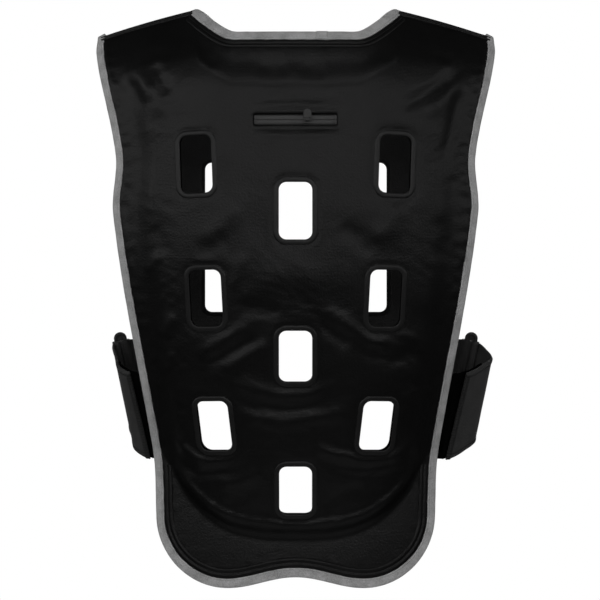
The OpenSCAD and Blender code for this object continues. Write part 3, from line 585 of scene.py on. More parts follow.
# Meshes
def make(name, points, faces, material, smooth_shade=True):
    mesh = bpy.data.meshes.new(name)
    mesh.from_pydata((np.asarray(points) * MM).tolist(), [], [tuple(int(i) for i in f) for f in faces])
    mesh.polygons.foreach_set("use_smooth", [smooth_shade] * len(mesh.polygons))
    mesh.materials.append(material)
    mesh.update()
    obj = bpy.data.objects.new(name, mesh)
    bpy.context.scene.collection.objects.link(obj)
    return obj


def joined(parts):
    """One list of points and faces from several."""
    points, faces, start = [], [], 0
    for p, f in parts:
        points.append(p)
        faces += [tuple(i + start for i in face) for face in f]
        start += len(p)
    return np.vstack(points), faces


def grid_faces(rows, cols, wrap_rows=False, wrap_cols=False):
    faces = []
    for j in range(rows if wrap_rows else rows - 1):
        for i in range(cols if wrap_cols else cols - 1):
            a, b = j * cols + i, j * cols + (i + 1) % cols
            c, d = (j + 1) % rows * cols + (i + 1) % cols, (j + 1) % rows * cols + i
            faces.append((a, b, c, d))
    return faces


def sheet(grid, wrap_rows=False, wrap_cols=False):
    """Points and faces of a grid of points."""
    return grid.reshape(-1, 3), grid_faces(*grid.shape[:2], wrap_rows, wrap_cols)


def sweep(path, out, up, profile):
    """Closed profile of (outward, upward) points carried along a path, with its ends closed."""
    q = np.asarray(profile, float)
    if q.ndim == 2:
        q = np.broadcast_to(q, (len(path), *q.shape))
    grid = path[:, None] + q[..., :1] * out[:, None] + q[..., 1:] * up[:, None]
    n, m = grid.shape[:2]
    points, faces = sheet(grid, False, True)
    return points, faces + [tuple(range(m - 1, -1, -1)), tuple(range((n - 1) * m, n * m))]


def ways(path):
    return unit(np.gradient(path, axis=0))


def slab(top, bottom):
    """Closed sheet between two grids of points of the same shape."""
    rows, cols = top.shape[:2]
    n = rows * cols
    upper = grid_faces(rows, cols)
    faces = upper + [tuple(reversed([i + n for i in f])) for f in upper]
    rim = list(range(cols))
    rim += [j * cols + cols - 1 for j in range(1, rows)]
    rim += [(rows - 1) * cols + i for i in range(cols - 2, -1, -1)]
    rim += [j * cols for j in range(rows - 2, 0, -1)]
    for a, b in zip(rim, rim[1:] + rim[:1]):
        faces.append((b, a, a + n, b + n))
    return np.vstack([top.reshape(-1, 3), bottom.reshape(-1, 3)]), faces


def grid_normals(g):
    return unit(np.cross(np.gradient(g, axis=1), np.gradient(g, axis=0)))


def bars(centre, side, up, radius, capped):
    """Four-sided bars along rows of centre points."""
    ring = [centre + radius * side, centre + radius * up, centre - radius * side, centre - radius * up]
    points = np.stack(ring, axis=2)
    length = points.shape[1]
    faces = grid_faces(length, 4, False, True)
    if capped:
        faces += [(3, 2, 1, 0), tuple(range(4 * length - 4, 4 * length))]
    return joined([(bar.reshape(-1, 3), faces) for bar in points])


def stitches(path, up, pitch=3.2, length=2.3, radius=0.32):
    """Row of sewn stitches lying on a surface."""
    at = run_length(path)
    count = max(1, int(at[-1] / pitch))
    middles = (np.arange(count) + 0.5) * at[-1] / count
    spots = middles[:, None] + np.array([-0.5, 0, 0.5]) * length
    centre = picked(spots, at, path)
    over = unit(picked(spots, at, up))
    way = unit(centre[:, 2] - centre[:, 0])[:, None]
    rise = np.array([-0.5, 0.35, -0.5])[None, :, None] * radius
    return bars(centre + over * rise, unit(np.cross(way, over)), over, radius, True)


def mirrored(points, side):
    return np.asarray(points) * np.array([side, 1, 1])


def turned(faces, side):
    return [tuple(f) for f in faces] if side > 0 else [tuple(reversed(f)) for f in faces]


# Materials
NOISE_LOW = 0.3
NOISE_HIGH = 0.7
BAND_WAVER = 0.6
CLOTH_PATCH = 38.0
CLOTH_FUZZ = 2.2
TAPE_SPECK = 0.9
TAPE_PATCH = 14.0
PILE_PATCH = 20.0
FINE_WEAR = 0.6


def feed(tree, socket, value):
    """Links an output to a socket, or sets the socket's own value."""
    if isinstance(value, bpy.types.NodeSocket):
        tree.links.new(value, socket)
    else:
        socket.default_value = value


class Look:
    """A node material with a few shorthand steps."""

    def __init__(self, name):
        self.material = bpy.data.materials.new(name)
        self.material.use_nodes = True
        self.tree = self.material.node_tree
        self.shader = self.tree.nodes["Principled BSDF"]
        self.place = self.add("ShaderNodeTexCoord").outputs["Object"]

    def add(self, kind, **settings):
        node = self.tree.nodes.new(kind)
        for key, value in settings.items():
            if key.lower() in [s.name.lower() for s in node.inputs]:
                self.set(node, key, value)
            else:
                setattr(node, key, value)
        return node

    def set(self, node, key, value):
        names = {s.name.lower(): s for s in node.inputs}
        feed(self.tree, names[key.lower()], value)

    def surface(self, **settings):
        for key, value in settings.items():
            self.set(self.shader, key.replace("_", " "), value)

    def noise(self, size, detail=3.0):
        mapping = self.add("ShaderNodeMapping", vector=self.place)
        mapping.inputs["Scale"].default_value = [1 / (size * MM)] * 3
        node = self.add("ShaderNodeTexNoise", vector=mapping.outputs[0], scale=1.0, detail=detail)
        return node.outputs["Fac"]

    def bands(self, pitch, axis):
        scale = 2 * math.pi / (20 * pitch * MM)
        node = self.add("ShaderNodeTexWave", vector=self.place, scale=scale, distortion=BAND_WAVER)
        node.bands_direction = axis
        return node.outputs["Fac"]

    def maths(self, operation, a, b):
        node = self.add("ShaderNodeMath", operation=operation)
        for socket, value in zip(node.inputs, (a, b)):
            feed(self.tree, socket, value)
        return node.outputs[0]

    def weighed(self, a, share, b, other):
        """Sum of two values, each times its share."""
        return self.maths("ADD", self.maths("MULTIPLY", a, share), self.maths("MULTIPLY", b, other))

    def colours(self, factor, low, high):
        """Greys between two display levels."""
        node = self.add("ShaderNodeValToRGB", Fac=factor)
        for element, place, level in zip(node.color_ramp.elements, (NOISE_LOW, NOISE_HIGH), (low, high)):
            element.position = place
            element.color = (*grey(level), 1)
        return node.outputs["Color"]

    def spread(self, factor, low, high):
        node = self.add("ShaderNodeMapRange", value=factor)
        node.inputs["From Min"].default_value = NOISE_LOW
        node.inputs["From Max"].default_value = NOISE_HIGH
        node.inputs["To Min"].default_value = low
        node.inputs["To Max"].default_value = high
        return node.outputs["Result"]

    def bump(self, height, depth):
        node = self.add("ShaderNodeBump", height=height, strength=1.0, distance=depth * MM)
        self.tree.links.new(node.outputs[0], self.shader.inputs["Normal"])
        self.tree.links.new(node.outputs[0], self.shader.inputs["Coat Normal"])


def grey(level):
    """Linear colour of a display level from 0 to 255."""
    v = level / 255
    v = v / 12.92 if v <= 0.04045 else ((v + 0.055) / 1.055) ** 2.4
    return (v, v, v)


def woven(look, pitch):
    across, along = look.bands(pitch, "X"), look.bands(pitch, "Z")
    return look.maths("MAXIMUM", across, along)


def cloth_look(name, dark, light, pitch, rough, coat, coat_rough, depth=0.12):
    """Matt woven cloth with a faint satin finish."""
    look = Look(name)
    patches = look.noise(CLOTH_PATCH, 4.0)
    threads = woven(look, pitch)
    fuzz = look.noise(CLOTH_FUZZ)
    height = look.weighed(threads, 0.35, fuzz, 2.4)
    tone = look.weighed(patches, 0.7, fuzz, 0.3)
    look.surface(base_color=look.colours(tone, dark, light))
    look.surface(roughness=look.spread(patches, rough - 0.05, rough + 0.05))
    look.surface(specular_ior_level=0.0, coat_weight=coat, coat_roughness=coat_rough)
    look.bump(height, depth)
    return look.material


def tape_look(name, dark, light, pitch, rough, spec, depth=0.1):
    """Ribbed woven tape."""
    look = Look(name)
    ribs = woven(look, pitch)
    specks = look.noise(TAPE_SPECK, 2.0)
    patches = look.noise(TAPE_PATCH)
    tone = look.weighed(specks, 0.6, patches, 0.4)
    look.surface(base_color=look.colours(tone, dark, light))
    look.surface(roughness=look.spread(specks, rough - 0.08, rough + 0.08), specular_ior_level=spec)
    look.bump(look.maths("ADD", ribs, specks), depth)
    return look.material


def pile_look(name, dark, light, size, depth):
    """Fuzzy loop pile or foam cells, and also the matt dark look that paints shade on recessed walls."""
    look = Look(name)
    loops = look.noise(size)
    patches = look.noise(PILE_PATCH, 2.0)
    tone = look.weighed(loops, 0.7, patches, 0.3)
    look.surface(base_color=look.colours(tone, dark, light), roughness=0.95, specular_ior_level=0.0)
    look.bump(loops, depth)
    return look.material


def hard_look(name, dark, light, rough, spec=0.3, size=6.0, depth=0.02):
    """Moulded plastic or coated metal with faint wear."""
    look = Look(name)
    wear = look.noise(size, 5.0)
    fine = look.noise(FINE_WEAR, 2.0)
    look.surface(base_color=look.colours(wear, dark, light))
    look.surface(roughness=look.spread(wear, rough - 0.08, rough + 0.1))
    look.surface(metallic=0.0, specular_ior_level=spec)
    look.bump(fine, depth)
    return look.material


# Each look has the display levels of its dark and light marks first
SHELL = cloth_look("shell_cloth", 4, 7, 1.5, 0.85, 0.2, 0.405)
LINING = cloth_look("lining_mesh", 31, 40, 2.4, 0.9, 0.03, 0.6, 0.3)
FOAM = pile_look("pad_foam", 58, 72, 2.0, 0.4)
RIM = cloth_look("window_rim", 15, 21, 1.1, 0.7, 0.2, 0.4, 0.05)
# Painted shade: the walls of the window rims and of the zip's opening get a matt near-black look for the
# shade inside those recesses
WALL_PAINTED_SHADE = pile_look("window_rim_wall_painted_shade", 4, 8, 1.2, 0.1)
BINDING = tape_look("reflective_binding", 90, 150, 1.0, 0.6, 0.25, 0.12)
FACING = cloth_look("facing_cloth", 5, 9, 1.3, 0.8, 0.18, 0.38)
ZIP_TAPE = tape_look("coated_zip_tape", 35, 49, 1.2, 0.55, 0.15, 0.05)
TEETH = hard_look("zip_teeth", 16, 26, 0.5)
METAL = hard_look("coated_metal", 26, 38, 0.6, 0.2)
STRAP = tape_look("strap_cloth", 29, 42, 1.6, 0.75, 0.12, 0.15)
HOOK = pile_look("hook_tape", 8, 16, 1.2, 0.3)
PILE = pile_look("loop_pile", 2, 5, 1.6, 0.4)
FRONT_TAB = tape_look("front_tab_web", 20, 30, 1.8, 0.7, 0.12, 0.2)
RING = hard_look("ring_plastic", 18, 28, 0.6, 0.2)
THREAD = tape_look("thread", 92, 128, 0.5, 0.7, 0.2, 0.03)
DARK_THREAD = tape_look("dark_thread", 20, 32, 0.5, 0.7, 0.15, 0.03)
BLACK_THREAD = tape_look("black_thread", 7, 14, 0.5, 0.7, 0.15, 0.03)


def finish(obj, body, slot, *nodes):
    """Ties a piece to its body and hides the solids that it stands for; its slot is not used."""
    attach(obj, body)
    if nodes:
        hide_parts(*nodes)
    return obj


def piece(name, mesh, look, body, slot, *nodes, side=1, turn=1):
    """Makes a piece that rides a body; side -1 mirrors it and turn -1 turns its faces over."""
    points, faces = mesh
    return finish(make(name, mirrored(points, side), turned(faces, turn), look), body, slot, *nodes)


# Back panel: steps between the points of its layers, laps under the rims, and the sag as (size, height)
SHELL_STEP = 3.0
LINING_STEP = 6.0
PAD_STEP = 8.0
SLOPE_STEP = 4.0
RIM_LAP = 1.5
LINING_LAP = 1.0
LINING_SAG = (40.0, 0.3)

# Seams: gathers and pulls beside the bound edges
GATHER_SIZE = 9.0
GATHER_H = 0.8
GATHER_INSET = 8.0
GATHER_REACH = 14.0
PULL_PITCH = 10.5
PULL_SIZE = 30.0
SEAM_FADE = 30.0
HEM_LOW = 545.0

# Ridges and grooves as (height, place, width)
PULL_RIDGE = (0.25, 13.0, 4.0)
HEM_RIDGE = (0.5, 10.5, 2.6)
HEM_GROOVE = (-0.5, 6.0, 1.5)
RIM_GROOVE = (-0.9, 0.6, 1.6)
ZIP_LIP = (0.5, 1.8, 1.4)
ZIP_GROOVE = (-0.9, 0.0, 0.9)

# Unevenness of the cloth as (size, height) waves, and its fine creases
BACK_WAVES = ((46.0, 0.8), (21.0, 0.3))
FRONT_WAVES = ((38.0, 0.9), (17.0, 0.3))
CRUMPLE_TURNS = (-28, 4, 32)
CRUMPLE_DRAWN = 3.2
CRUMPLE_SIZE = 11.0
CRUMPLE_SHARP = 2.2
CRUMPLE_PATCH = 55.0
CRUMPLE_LEAST = 0.1
CRUMPLE_MORE = 0.35

# Where the creases set in, as (distance, run), and how the unevenness fades at rims, zip and pad
CALM_HALF = (90.0, 60.0)
CALM_DEPTH = (230.0, 80.0)
RIM_CALM = 12.0
ZIP_CALM = 8.0
UNPADDED = 0.3
DENT_MOST = -0.8


def side_line(sign, step):
    z = np.linspace(-CORNER_TOP, -SHOULDER_DROP, 400)
    return resample(stacked(sign * edge_half(z), z), step)


def hem_line(step):
    """Hem from the left side to the right."""
    a = np.linspace(0, np.pi / 2, 60)
    corner = stacked(LOBE_X + TAIL_CORNER_W * np.cos(a), -CORNER_TOP - TAIL_CORNER_H * np.sin(a))
    x = np.linspace(-LOBE_X, LOBE_X, 121)
    middle = stacked(x, hem_z(x))[1:-1]
    return resample(np.vstack([corner * (-1, 1), middle, corner[::-1]]), step)


def top_line(x0, x1, step):
    x = np.linspace(x0, x1, 200)
    return resample(stacked(x, top_z(x)), step)


def back_outline(step):
    parts = [
        hem_line(step),
        side_line(1, step),
        top_line(SHOULDER_HALF, NECK_HALF, step),
        top_line(NECK_HALF, -NECK_HALF, step),
        top_line(-NECK_HALF, -SHOULDER_HALF, step),
        side_line(-1, step)[::-1],
    ]
    return np.vstack([p[:-1] for p in parts])


def window_holes(grow, step):
    holes = []
    for name, (_, _, h, _) in WINDOWS.items():
        points, _ = dense_loop(WINDOW_W + 2 * grow, h + 2 * grow, WINDOW_R + grow, step)
        holes.append(on_plane(name, points)[:, [0, 2]])
    return holes


def zip_hole(grow, step):
    points, _ = dense_loop(ZIP_LEN + 2 * grow, ZIP_GAP + 2 * grow, ZIP_CORNER + grow, step)
    return points + (0, -ZIP_DEPTH)


def seam_pucker(x, z):
    """Small gathers beside the bound edges, pulls along the armholes and the ridge of the side hems."""
    inset = edge_half(z) - np.abs(x)
    gap = np.minimum(inset, np.minimum(top_z(x) - z, z - hem_z(x)))
    fade = bump(np.maximum(gap - GATHER_INSET, 0), GATHER_H, 0.0, GATHER_REACH)
    gathers = flat_grain(x, z, GATHER_SIZE, 3) * fade
    waves = np.sin(2 * np.pi * z / PULL_PITCH + 2 * flat_grain(x, z, PULL_SIZE, 6))
    pulls = waves * bump(gap, *PULL_RIDGE) * setting_in(z, -CHEST_DEPTH, SEAM_FADE)
    hem = bump(inset, *HEM_RIDGE) + bump(inset, *HEM_GROOVE)
    return gathers + pulls + hem * setting_in(z, -HEM_LOW, SEAM_FADE)


def crumple(x, z):
    """Fine sharp creases that run a few ways, in patches."""
    total = np.zeros(len(x))
    for k, turn in enumerate(CRUMPLE_TURNS):
        c, d = math.cos(math.radians(turn)), math.sin(math.radians(turn))
        along = (x * c + z * d) / CRUMPLE_DRAWN
        ridge = 1 - np.abs(flat_grain(along, z * c - x * d, CRUMPLE_SIZE, 90 + k)) * CRUMPLE_SHARP
        patch = ramp(flat_grain(x, z, CRUMPLE_PATCH, 95 + k) * 1.6 + 0.35)
        total = total + np.maximum(ridge, 0) ** 3 * patch
    return total


def uneven(x, z, waves, seed):
    """Soft unevenness from (size, height) waves."""
    return sum(flat_grain(x, z, size, seed + k) * height for k, (size, height) in enumerate(waves))


def shell_surface(x, z):
    """Outer face of the shell with its unevenness, creases, seams and the lips of its openings."""
    rim_gap = window_gap(x, z)
    busy = np.maximum(setting_in(np.abs(x), *CALM_HALF), setting_in(-z, *CALM_DEPTH))
    soft = uneven(x, z, BACK_WAVES, 1) + crumple(x, z) * (CRUMPLE_LEAST + CRUMPLE_MORE * busy)
    soft = soft * ramp(rim_gap / RIM_CALM)
    zip_gap = rounded_gap(x, z + ZIP_DEPTH, ZIP_LEN, ZIP_GAP, ZIP_CORNER)
    lips = bump(rim_gap, *RIM_GROOVE) + bump(zip_gap, *ZIP_LIP) + bump(zip_gap, *ZIP_GROOVE)
    pad_share = pad_thickness(x, z) / PAD_T
    loose = np.maximum(soft * mix(UNPADDED, 1.0, pad_share) + seam_pucker(x, z), DENT_MOST)
    return shell_point(x, z, lips + loose * setting_in(zip_gap, 2.0, ZIP_CALM))


def make_back():
    holes = window_holes(RIM_W - RIM_LAP, 2.0) + [zip_hole(0, 1.5)]
    p, faces = panel(back_outline(SHELL_STEP), holes, SHELL_STEP)
    shell = piece("shell", (shell_surface(*p.T), faces), SHELL, "back", "shell_cloth", "back_shell")
    p, faces = panel(back_outline(LINING_STEP), window_holes(RIM_W - LINING_LAP, 3.0), LINING_STEP)
    x, z = p.T
    size, height = LINING_SAG
    sag = 0.1 + height * np.abs(flat_grain(x, z, size, 5))
    inner = stacked(x, body_y(x, z) + sag, z)
    lining = piece("lining", (inner, faces), LINING, "back", "lining", "back_lining", turn=-1)


# Foam pad
PAD_HIGH = 34.0
PAD_TOP_LINE = 0.93
PAD_CLEAR = 0.1
PAD_SLACK = 0.6
PAD_LEAST = 0.3


def pad_outline(step):
    low = -crease_depth(PAD_PART * WAIST_HALF)
    z = mix(low, -(SHOULDER_DROP + PAD_HIGH), np.linspace(0, 1, 200))
    side = stacked(PAD_PART * edge_half(z), z)
    x = np.linspace(-side[0, 0], side[0, 0], 160)
    bottom = stacked(x, -crease_depth(x))
    x = np.linspace(side[-1, 0], -side[-1, 0], 160)
    top = stacked(x, mix(-crease_depth(x), top_z(x), PAD_TOP_LINE))
    parts = [bottom, side, top, side[::-1] * (-1, 1)]
    return np.vstack([resample(part, step)[:-1] for part in parts])


def make_pad():
    holes = window_holes(RIM_W + 0.4, 4.0) + [zip_hole(7.0, 6.0)]
    p, faces = panel(pad_outline(PAD_STEP), holes, PAD_STEP)
    x, z = p.T
    dents = np.minimum(wrinkle_lift(x, z), 0)
    thick = np.maximum(pad_thickness(x, z) + dents - PAD_SLACK, PAD_LEAST)
    low = LINING_T + PAD_CLEAR
    layers = [stacked(x, body_y(x, z) - lift * stretch(x, z), z) for lift in (low + thick, low)]
    n = len(p)
    sides = dict.fromkeys((a, b) for f in faces for a, b in zip(f, np.roll(f, -1)))
    walls = [(b, a, a + n, b + n) for a, b in sides if (b, a) not in sides]
    body = [tuple(f) for f in faces] + [tuple(i + n for i in reversed(f)) for f in faces] + walls
    pad = piece("pad", (np.vstack(layers), body), FOAM, "back", "foam", "back_pad")


# Window rims: a soft bead round the outside and a wall through the panel
RIM_PROFILE = [
    (6.0, -0.7), (5.5, -0.1), (4.9, 0.42), (4.1, 0.6), (2.6, 0.62), (1.2, 0.6), (0.5, 0.38), (0.1, -0.1),
    (0.0, -0.8),
]
RIM_WALL = [(0.3, 0.3), (1.3, 0.6), (2.6, 0.95), (3.2, 1.1), (4.0, 1.16), (4.7, 1.12), (5.4, 0.98)]
WALL_DEPTH = STACK_T + 0.4


def paint_wall_shade(obj, first_row, cols):
    """Gives the rows of a rim from one row on the dark look of its wall, which is painted shade."""
    obj.data.materials.append(WALL_PAINTED_SHADE)
    for k, face in enumerate(obj.data.polygons):
        face.material_index = 1 if k // cols >= first_row else 0


def make_rims():
    profile = RIM_PROFILE + [(offset, -share * WALL_DEPTH) for offset, share in RIM_WALL]
    for name, (_, _, h, _) in WINDOWS.items():
        loop, outs = dense_loop(WINDOW_W, h, WINDOW_R, 1.6)
        rows = []
        for offset, rise in profile:
            flat = on_plane(name, loop + offset * outs)
            rows.append(shell_point(flat[:, 0], flat[:, 2]) + rise * FRAMES[name][3])
        rim = make(name + "_bead", *sheet(np.stack(rows), False, True), RIM)
        # The wall rows of the rim are painted dark as shade
        paint_wall_shade(rim, len(RIM_PROFILE) - 2, len(loop))
        finish(rim, "back", "rim", name)


# Bound edges of the back
BINDING_PROFILE = [
    (-9.5, 1.5), (-9.35, 2.1), (-8.7, 2.35), (-6.0, 2.4), (-2.0, 2.45), (-0.3, 2.3), (0.6, 1.7), (0.95, 0.6),
    (0.95, -0.6), (0.6, -1.7), (-0.3, -2.3), (-2.0, -2.45), (-6.0, -2.4), (-8.7, -2.35), (-9.35, -2.1),
    (-9.5, -1.5),
]
WAVE_SIZE = 13.0
WAVE_H = 0.22
WAVE_EDGE = 0.5
STITCH_INSET = 7.7
STITCH_RISE = 2.42
LAP_X = (34.0, 22.0)
LAP_THICKER = 1.28
NECK_ROUND = 7


def wavy_profile(profile, path, seed):
    """Profile that changes a little along a path, in its thickness and at its inner edge."""
    profile = np.asarray(profile, float)
    q = np.broadcast_to(profile, (len(path), *profile.shape[-2:])).copy()
    wave = grain(path, WAVE_SIZE, seed) * WAVE_H
    q[..., 1] += wave[:, None] * np.sign(q[..., 1])
    inner = q[..., 0] < -5
    q[..., 0] += np.where(inner, grain(path, WAVE_SIZE * 1.4, seed + 1)[:, None] * WAVE_EDGE, 0)
    return q


def edge_frame(line):
    """Middle of the cloth's edge along a line of (x, z), and its outward and upward directions."""
    x, z = line.T
    path = stacked(x, body_y(x, z) - EDGE_T / 2 * stretch(x, z), z)
    up = normals(body_y, x, z, SLOPE_STEP)
    out = unit(np.cross(ways(path), up))
    return path, out, unit(np.cross(out, ways(path)))


def binding_stitches(path, out, up, inset):
    """Rows of stitches on both faces of a binding."""
    rows = []
    for face in (1, -1):
        rows.append(stitches(path + face * STITCH_RISE * up - inset * out, face * up))
    return joined(rows)


def binding_and_thread(name, node, line, seed, profile, part=1.0):
    path, out, up = edge_frame(line)
    tape = sweep(path, out, up, wavy_profile(profile, path, seed))
    piece(name, tape, BINDING, "back", "binding", node)
    sewn = slice(4, -4)
    threads = binding_stitches(path[sewn], out[sewn], up[sewn], STITCH_INSET * part)
    piece(name + "_thread", threads, THREAD, "back", "binding")


def lower_line(step):
    return np.vstack([side_line(-1, step)[::-1], hem_line(step)[1:-1], side_line(1, step)])


def neck_line(step):
    """Neck edge carried a little over the two high points, with those corners rounded."""
    line = top_line(NECK_HALF + NECK_LAP, -NECK_HALF - NECK_LAP, 0.5)
    for _ in range(2):
        count = len(line) - 2 * NECK_ROUND
        spans = [line[k : k + count] for k in range(2 * NECK_ROUND + 1)]
        line[NECK_ROUND:-NECK_ROUND] = np.mean(spans, axis=0)
    return resample(line, step)


def neck_profile(line):
    """Binding of the neck, wider than at the sides and drawn in at its two ends."""
    profile = np.broadcast_to(np.array(BINDING_PROFILE), (len(line), len(BINDING_PROFILE), 2)).copy()
    share = ramp((NECK_HALF + NECK_LAP + 1 - np.abs(line[:, 0])) / NECK_LAP)
    inner = np.where(profile[..., 0] < -1, profile[..., 0] * NECK_BINDING_PART, profile[..., 0])
    profile[..., 0] = inner * (0.25 + 0.75 * share[:, None])
    profile[..., 1] *= 0.6 + 0.4 * share[:, None]
    return profile


def make_bindings():
    binding_and_thread("side_binding", "binding_back", lower_line(3.0), 11, BINDING_PROFILE)
    neck = neck_line(2.5)
    binding_and_thread("neck_binding", "binding_neck", neck, 14, neck_profile(neck), NECK_BINDING_PART)
    lap = np.array(BINDING_PROFILE) * (NECK_BINDING_PART, LAP_THICKER)
    tape = sweep(*edge_frame(top_line(*LAP_X, 1.5)), lap)
    piece("neck_binding_lap", tape, BINDING, "back", "binding")


# Strips sewn flat on the shell, as (distance, rise) rows
FACING_ROWS = [
    (9.2, -0.8), (9.8, 0.3), (11.0, 0.8), (12.6, 1.5), (14.0, 1.1), (15.0, 0.3), (15.8, 0.5), (17.2, 1.5),
    (18.8, 1.6), (20.0, 1.0), (20.9, -0.2), (21.2, -1.2),
]
TAIL_STITCHES = [(14.6, 0.85)]
NECK_STITCHES = [(11.2, 0.85), (15.2, 0.85)]
SEAM_ROWS = [
    (-0.8, -0.6), (0.0, 0.6), (1.2, 1.5), (2.6, 1.5), (3.4, 0.5), (4.0, 0.2), (4.6, 0.6), (5.6, 1.7),
    (7.2, 1.8), (8.2, 1.0), (8.8, -0.6),
]
SEAM_STITCHES = [(2.0, 1.5), (6.6, 1.8)]
FACING_THREAD = 0.28
SEAM_THREAD = 0.3
FACING_WAVE = 0.25
FACING_MORE = 8.0


def inward_line(line, sign):
    way = ways(stacked(line[:, 0], 0.0, line[:, 1]))
    return sign * stacked(-way[:, 2], way[:, 0])


def strip_grid(line, inward, rows):
    """Grid of points on the shell beside a line, at (distance, rise) rows."""
    grid = []
    sx, sz = slopes(body_y, *line.T, SLOPE_STEP)
    metric = np.sqrt(1 + (sx * inward[:, 0] + sz * inward[:, 1]) ** 2)
    for distance, rise in rows:
        q = line + inward * (distance / metric)[:, None]
        grid.append(shell_point(*q.T, np.full(len(q), rise)))
    return np.stack(grid)


def sewn_strip(name, node, line, sign, rows, stitch_rows, radius, wave=0.0):
    """Ridged strip beside a line, with its rows of stitches."""
    inward = inward_line(line, sign)
    grid = strip_grid(line, inward, rows)
    grid[..., 1] -= grid_grain(grid, 12.0, wave, 21)
    piece(name, sheet(grid), FACING, "back", "facing", node, turn=-sign)
    parts = []
    for row in stitch_rows:
        path = strip_grid(line, inward, [row])[0]
        up = normals(body_y, path[:, 0], path[:, 2], SLOPE_STEP)
        parts.append(stitches(path, up, 3.0, 2.2, radius))
    piece(name + "_thread", joined(parts), DARK_THREAD, "back", "facing")


def moved_in(rows, shift):
    return [(distance + shift, rise) for distance, rise in rows]


def make_strips():
    line = lower_line(3.0)
    line = line[line[:, 1] < -(PAD_DEPTH - PAD_RISE) + FACING_MORE]
    sewn_strip("tail_facing", "facing_tail", line, 1, FACING_ROWS, TAIL_STITCHES, FACING_THREAD, FACING_WAVE)
    line = top_line(NECK_HALF, -NECK_HALF, 2.5)
    shift = BINDING_W * (NECK_BINDING_PART - 1)
    rows, threads = moved_in(FACING_ROWS, shift), moved_in(NECK_STITCHES, shift)
    sewn_strip("neck_facing", "facing_neck", line, 1, rows, threads, FACING_THREAD, FACING_WAVE)
    for side, word in SIDE_NAME.items():
        line = top_line(side * (NECK_HALF + NECK_LAP - 1), side * (SHOULDER_HALF - 3), 2.5)
        node = "shoulder_seam_" + word
        sewn_strip("seam_" + word, node, line, -side, SEAM_ROWS, SEAM_STITCHES, SEAM_THREAD)


# Back zip, on its own plane: x along, y up, z outward from the shell's face
ZIP_ROWS = [
    (0.05, -1.9), (0.15, -1.4), (0.5, -1.25), (1.4, -1.15), (3.0, -1.2), (4.1, -1.3), (4.6, -1.7),
    (4.9, -2.8), (6.5, -3.2), (13.0, -3.2),
]
ZIP_WALL = [(0.4, 0.1), (0.05, -0.2), (0.0, -1.2), (0.1, -3.4)]
STOP_SIZE = (1.3, ZIP_GAP - 2.0, 1.2)
STOP_INSET = 1.9
STOP_RISE = -0.9


def on_zip(points):
    p = np.asarray(points, float)
    return stacked(p[..., 0], -STACK_T - p[..., 2], p[..., 1] - ZIP_DEPTH)


def zip_wall():
    """Turned-in edge of the cloth round the zip's opening, with the dark look of painted shade in its recess.
    """
    loop, outs = dense_loop(ZIP_LEN, ZIP_GAP, ZIP_CORNER, 1.5)
    grid = np.stack([stacked(*(loop + offset * outs).T, rise) for offset, rise in ZIP_WALL])
    piece("zip_opening_edge", sheet(on_zip(grid), False, True), WALL_PAINTED_SHADE, "back", "shell_cloth")


def make_zip():
    zip_wall()
    half = ZIP_LEN / 2 + 4
    x = np.linspace(-half, half, 60)
    stops = []
    for side, name in ((1, "zip_tape_upper"), (-1, "zip_tape_lower")):
        grid = np.stack([stacked(x, side * v, w) for v, w in ZIP_ROWS])
        piece(name + "_band", sheet(on_zip(grid)), ZIP_TAPE, "back", "zip_tape", name, turn=-side)
        stops.append(block((side * (ZIP_LEN / 2 - STOP_INSET), 0, STOP_RISE), STOP_SIZE, 0.3))
    points, faces = joined(stops)
    piece("zip_end_stops", (on_zip(points), faces), ZIP_TAPE, "back", "zip_tape", "zip_stops")


def block(middle, size, bevel):
    """Box with every edge rounded."""
    bm = bmesh.new()
    bmesh.ops.create_cube(bm, size=1.0)
    for v in bm.verts:
        v.co = Vector([v.co[k] * size[k] + middle[k] for k in range(3)])
    bmesh.ops.bevel(bm, geom=bm.edges[:], offset=bevel, segments=2, profile=0.6, affect="EDGES")
    points = np.array([tuple(v.co) for v in bm.verts])
    faces = [tuple(v.index for v in f.verts) for f in bm.faces]
    bm.free()
    return points, faces


# Fronts, drawn for the right side; v is z below the yoke line and runs on over the shoulder above it
FRONT_KNOTS = [
    (-FRONT_SIDE_DEPTH, FRONT_SIDE_HALF),
    (-(ARMHOLE_DEPTH + 90), FRONT_SIDE_HALF),
    (-ARMHOLE_DEPTH, FRONT_ARMHOLE_HALF),
    (-YOKE_DEPTH, FRONT_YOKE_HALF),
]
FRONT_TOP = -YOKE_DEPTH + YOKE_RUN
FRONT_STEP = 4.0
YOKE_CLEAR = 0.3
FRONT_SEED = {1: 30, -1: 40}

# Where the folds of a front set in from its edges, as (distance, run), and the folds
FRONT_CALM = (9.0, 8.0)
FRONT_WRINKLES = [
    ([(60, 150), (90, 140), (130, 150)], 9, 1.2),
    ([(150, 170), (120, 190), (112, 230)], 9, -1.6),
    ([(146, 250), (124, 252), (60, 244)], 10, 1.8),
    ([(148, 330), (120, 352), (70, 360)], 11, 2.2),
    ([(146, 352), (118, 374), (64, 382)], 10, -1.8),
    ([(150, 400), (116, 392), (60, 396)], 9, 1.4),
]


def front_hem(x):
    return -mix(FRONT_HEM_DEPTH, FRONT_SIDE_DEPTH, ramp((x - HEM_TURN) / HEM_RUN))


def front_face(x):
    return FRONT_Y - FRONT_WRAP * np.maximum(0, (x - FRONT_GAP) / (FRONT_SIDE_HALF - FRONT_GAP)) ** 2


def front_limits(v):
    t = clamp((v + YOKE_DEPTH) / YOKE_RUN, 0.0, 1.0)
    low = mix(FRONT_GAP, NECK_HALF, t)
    high = np.where(v <= -YOKE_DEPTH, smooth(FRONT_KNOTS, v), mix(FRONT_YOKE_HALF, SHOULDER_HALF, t))
    return low, high


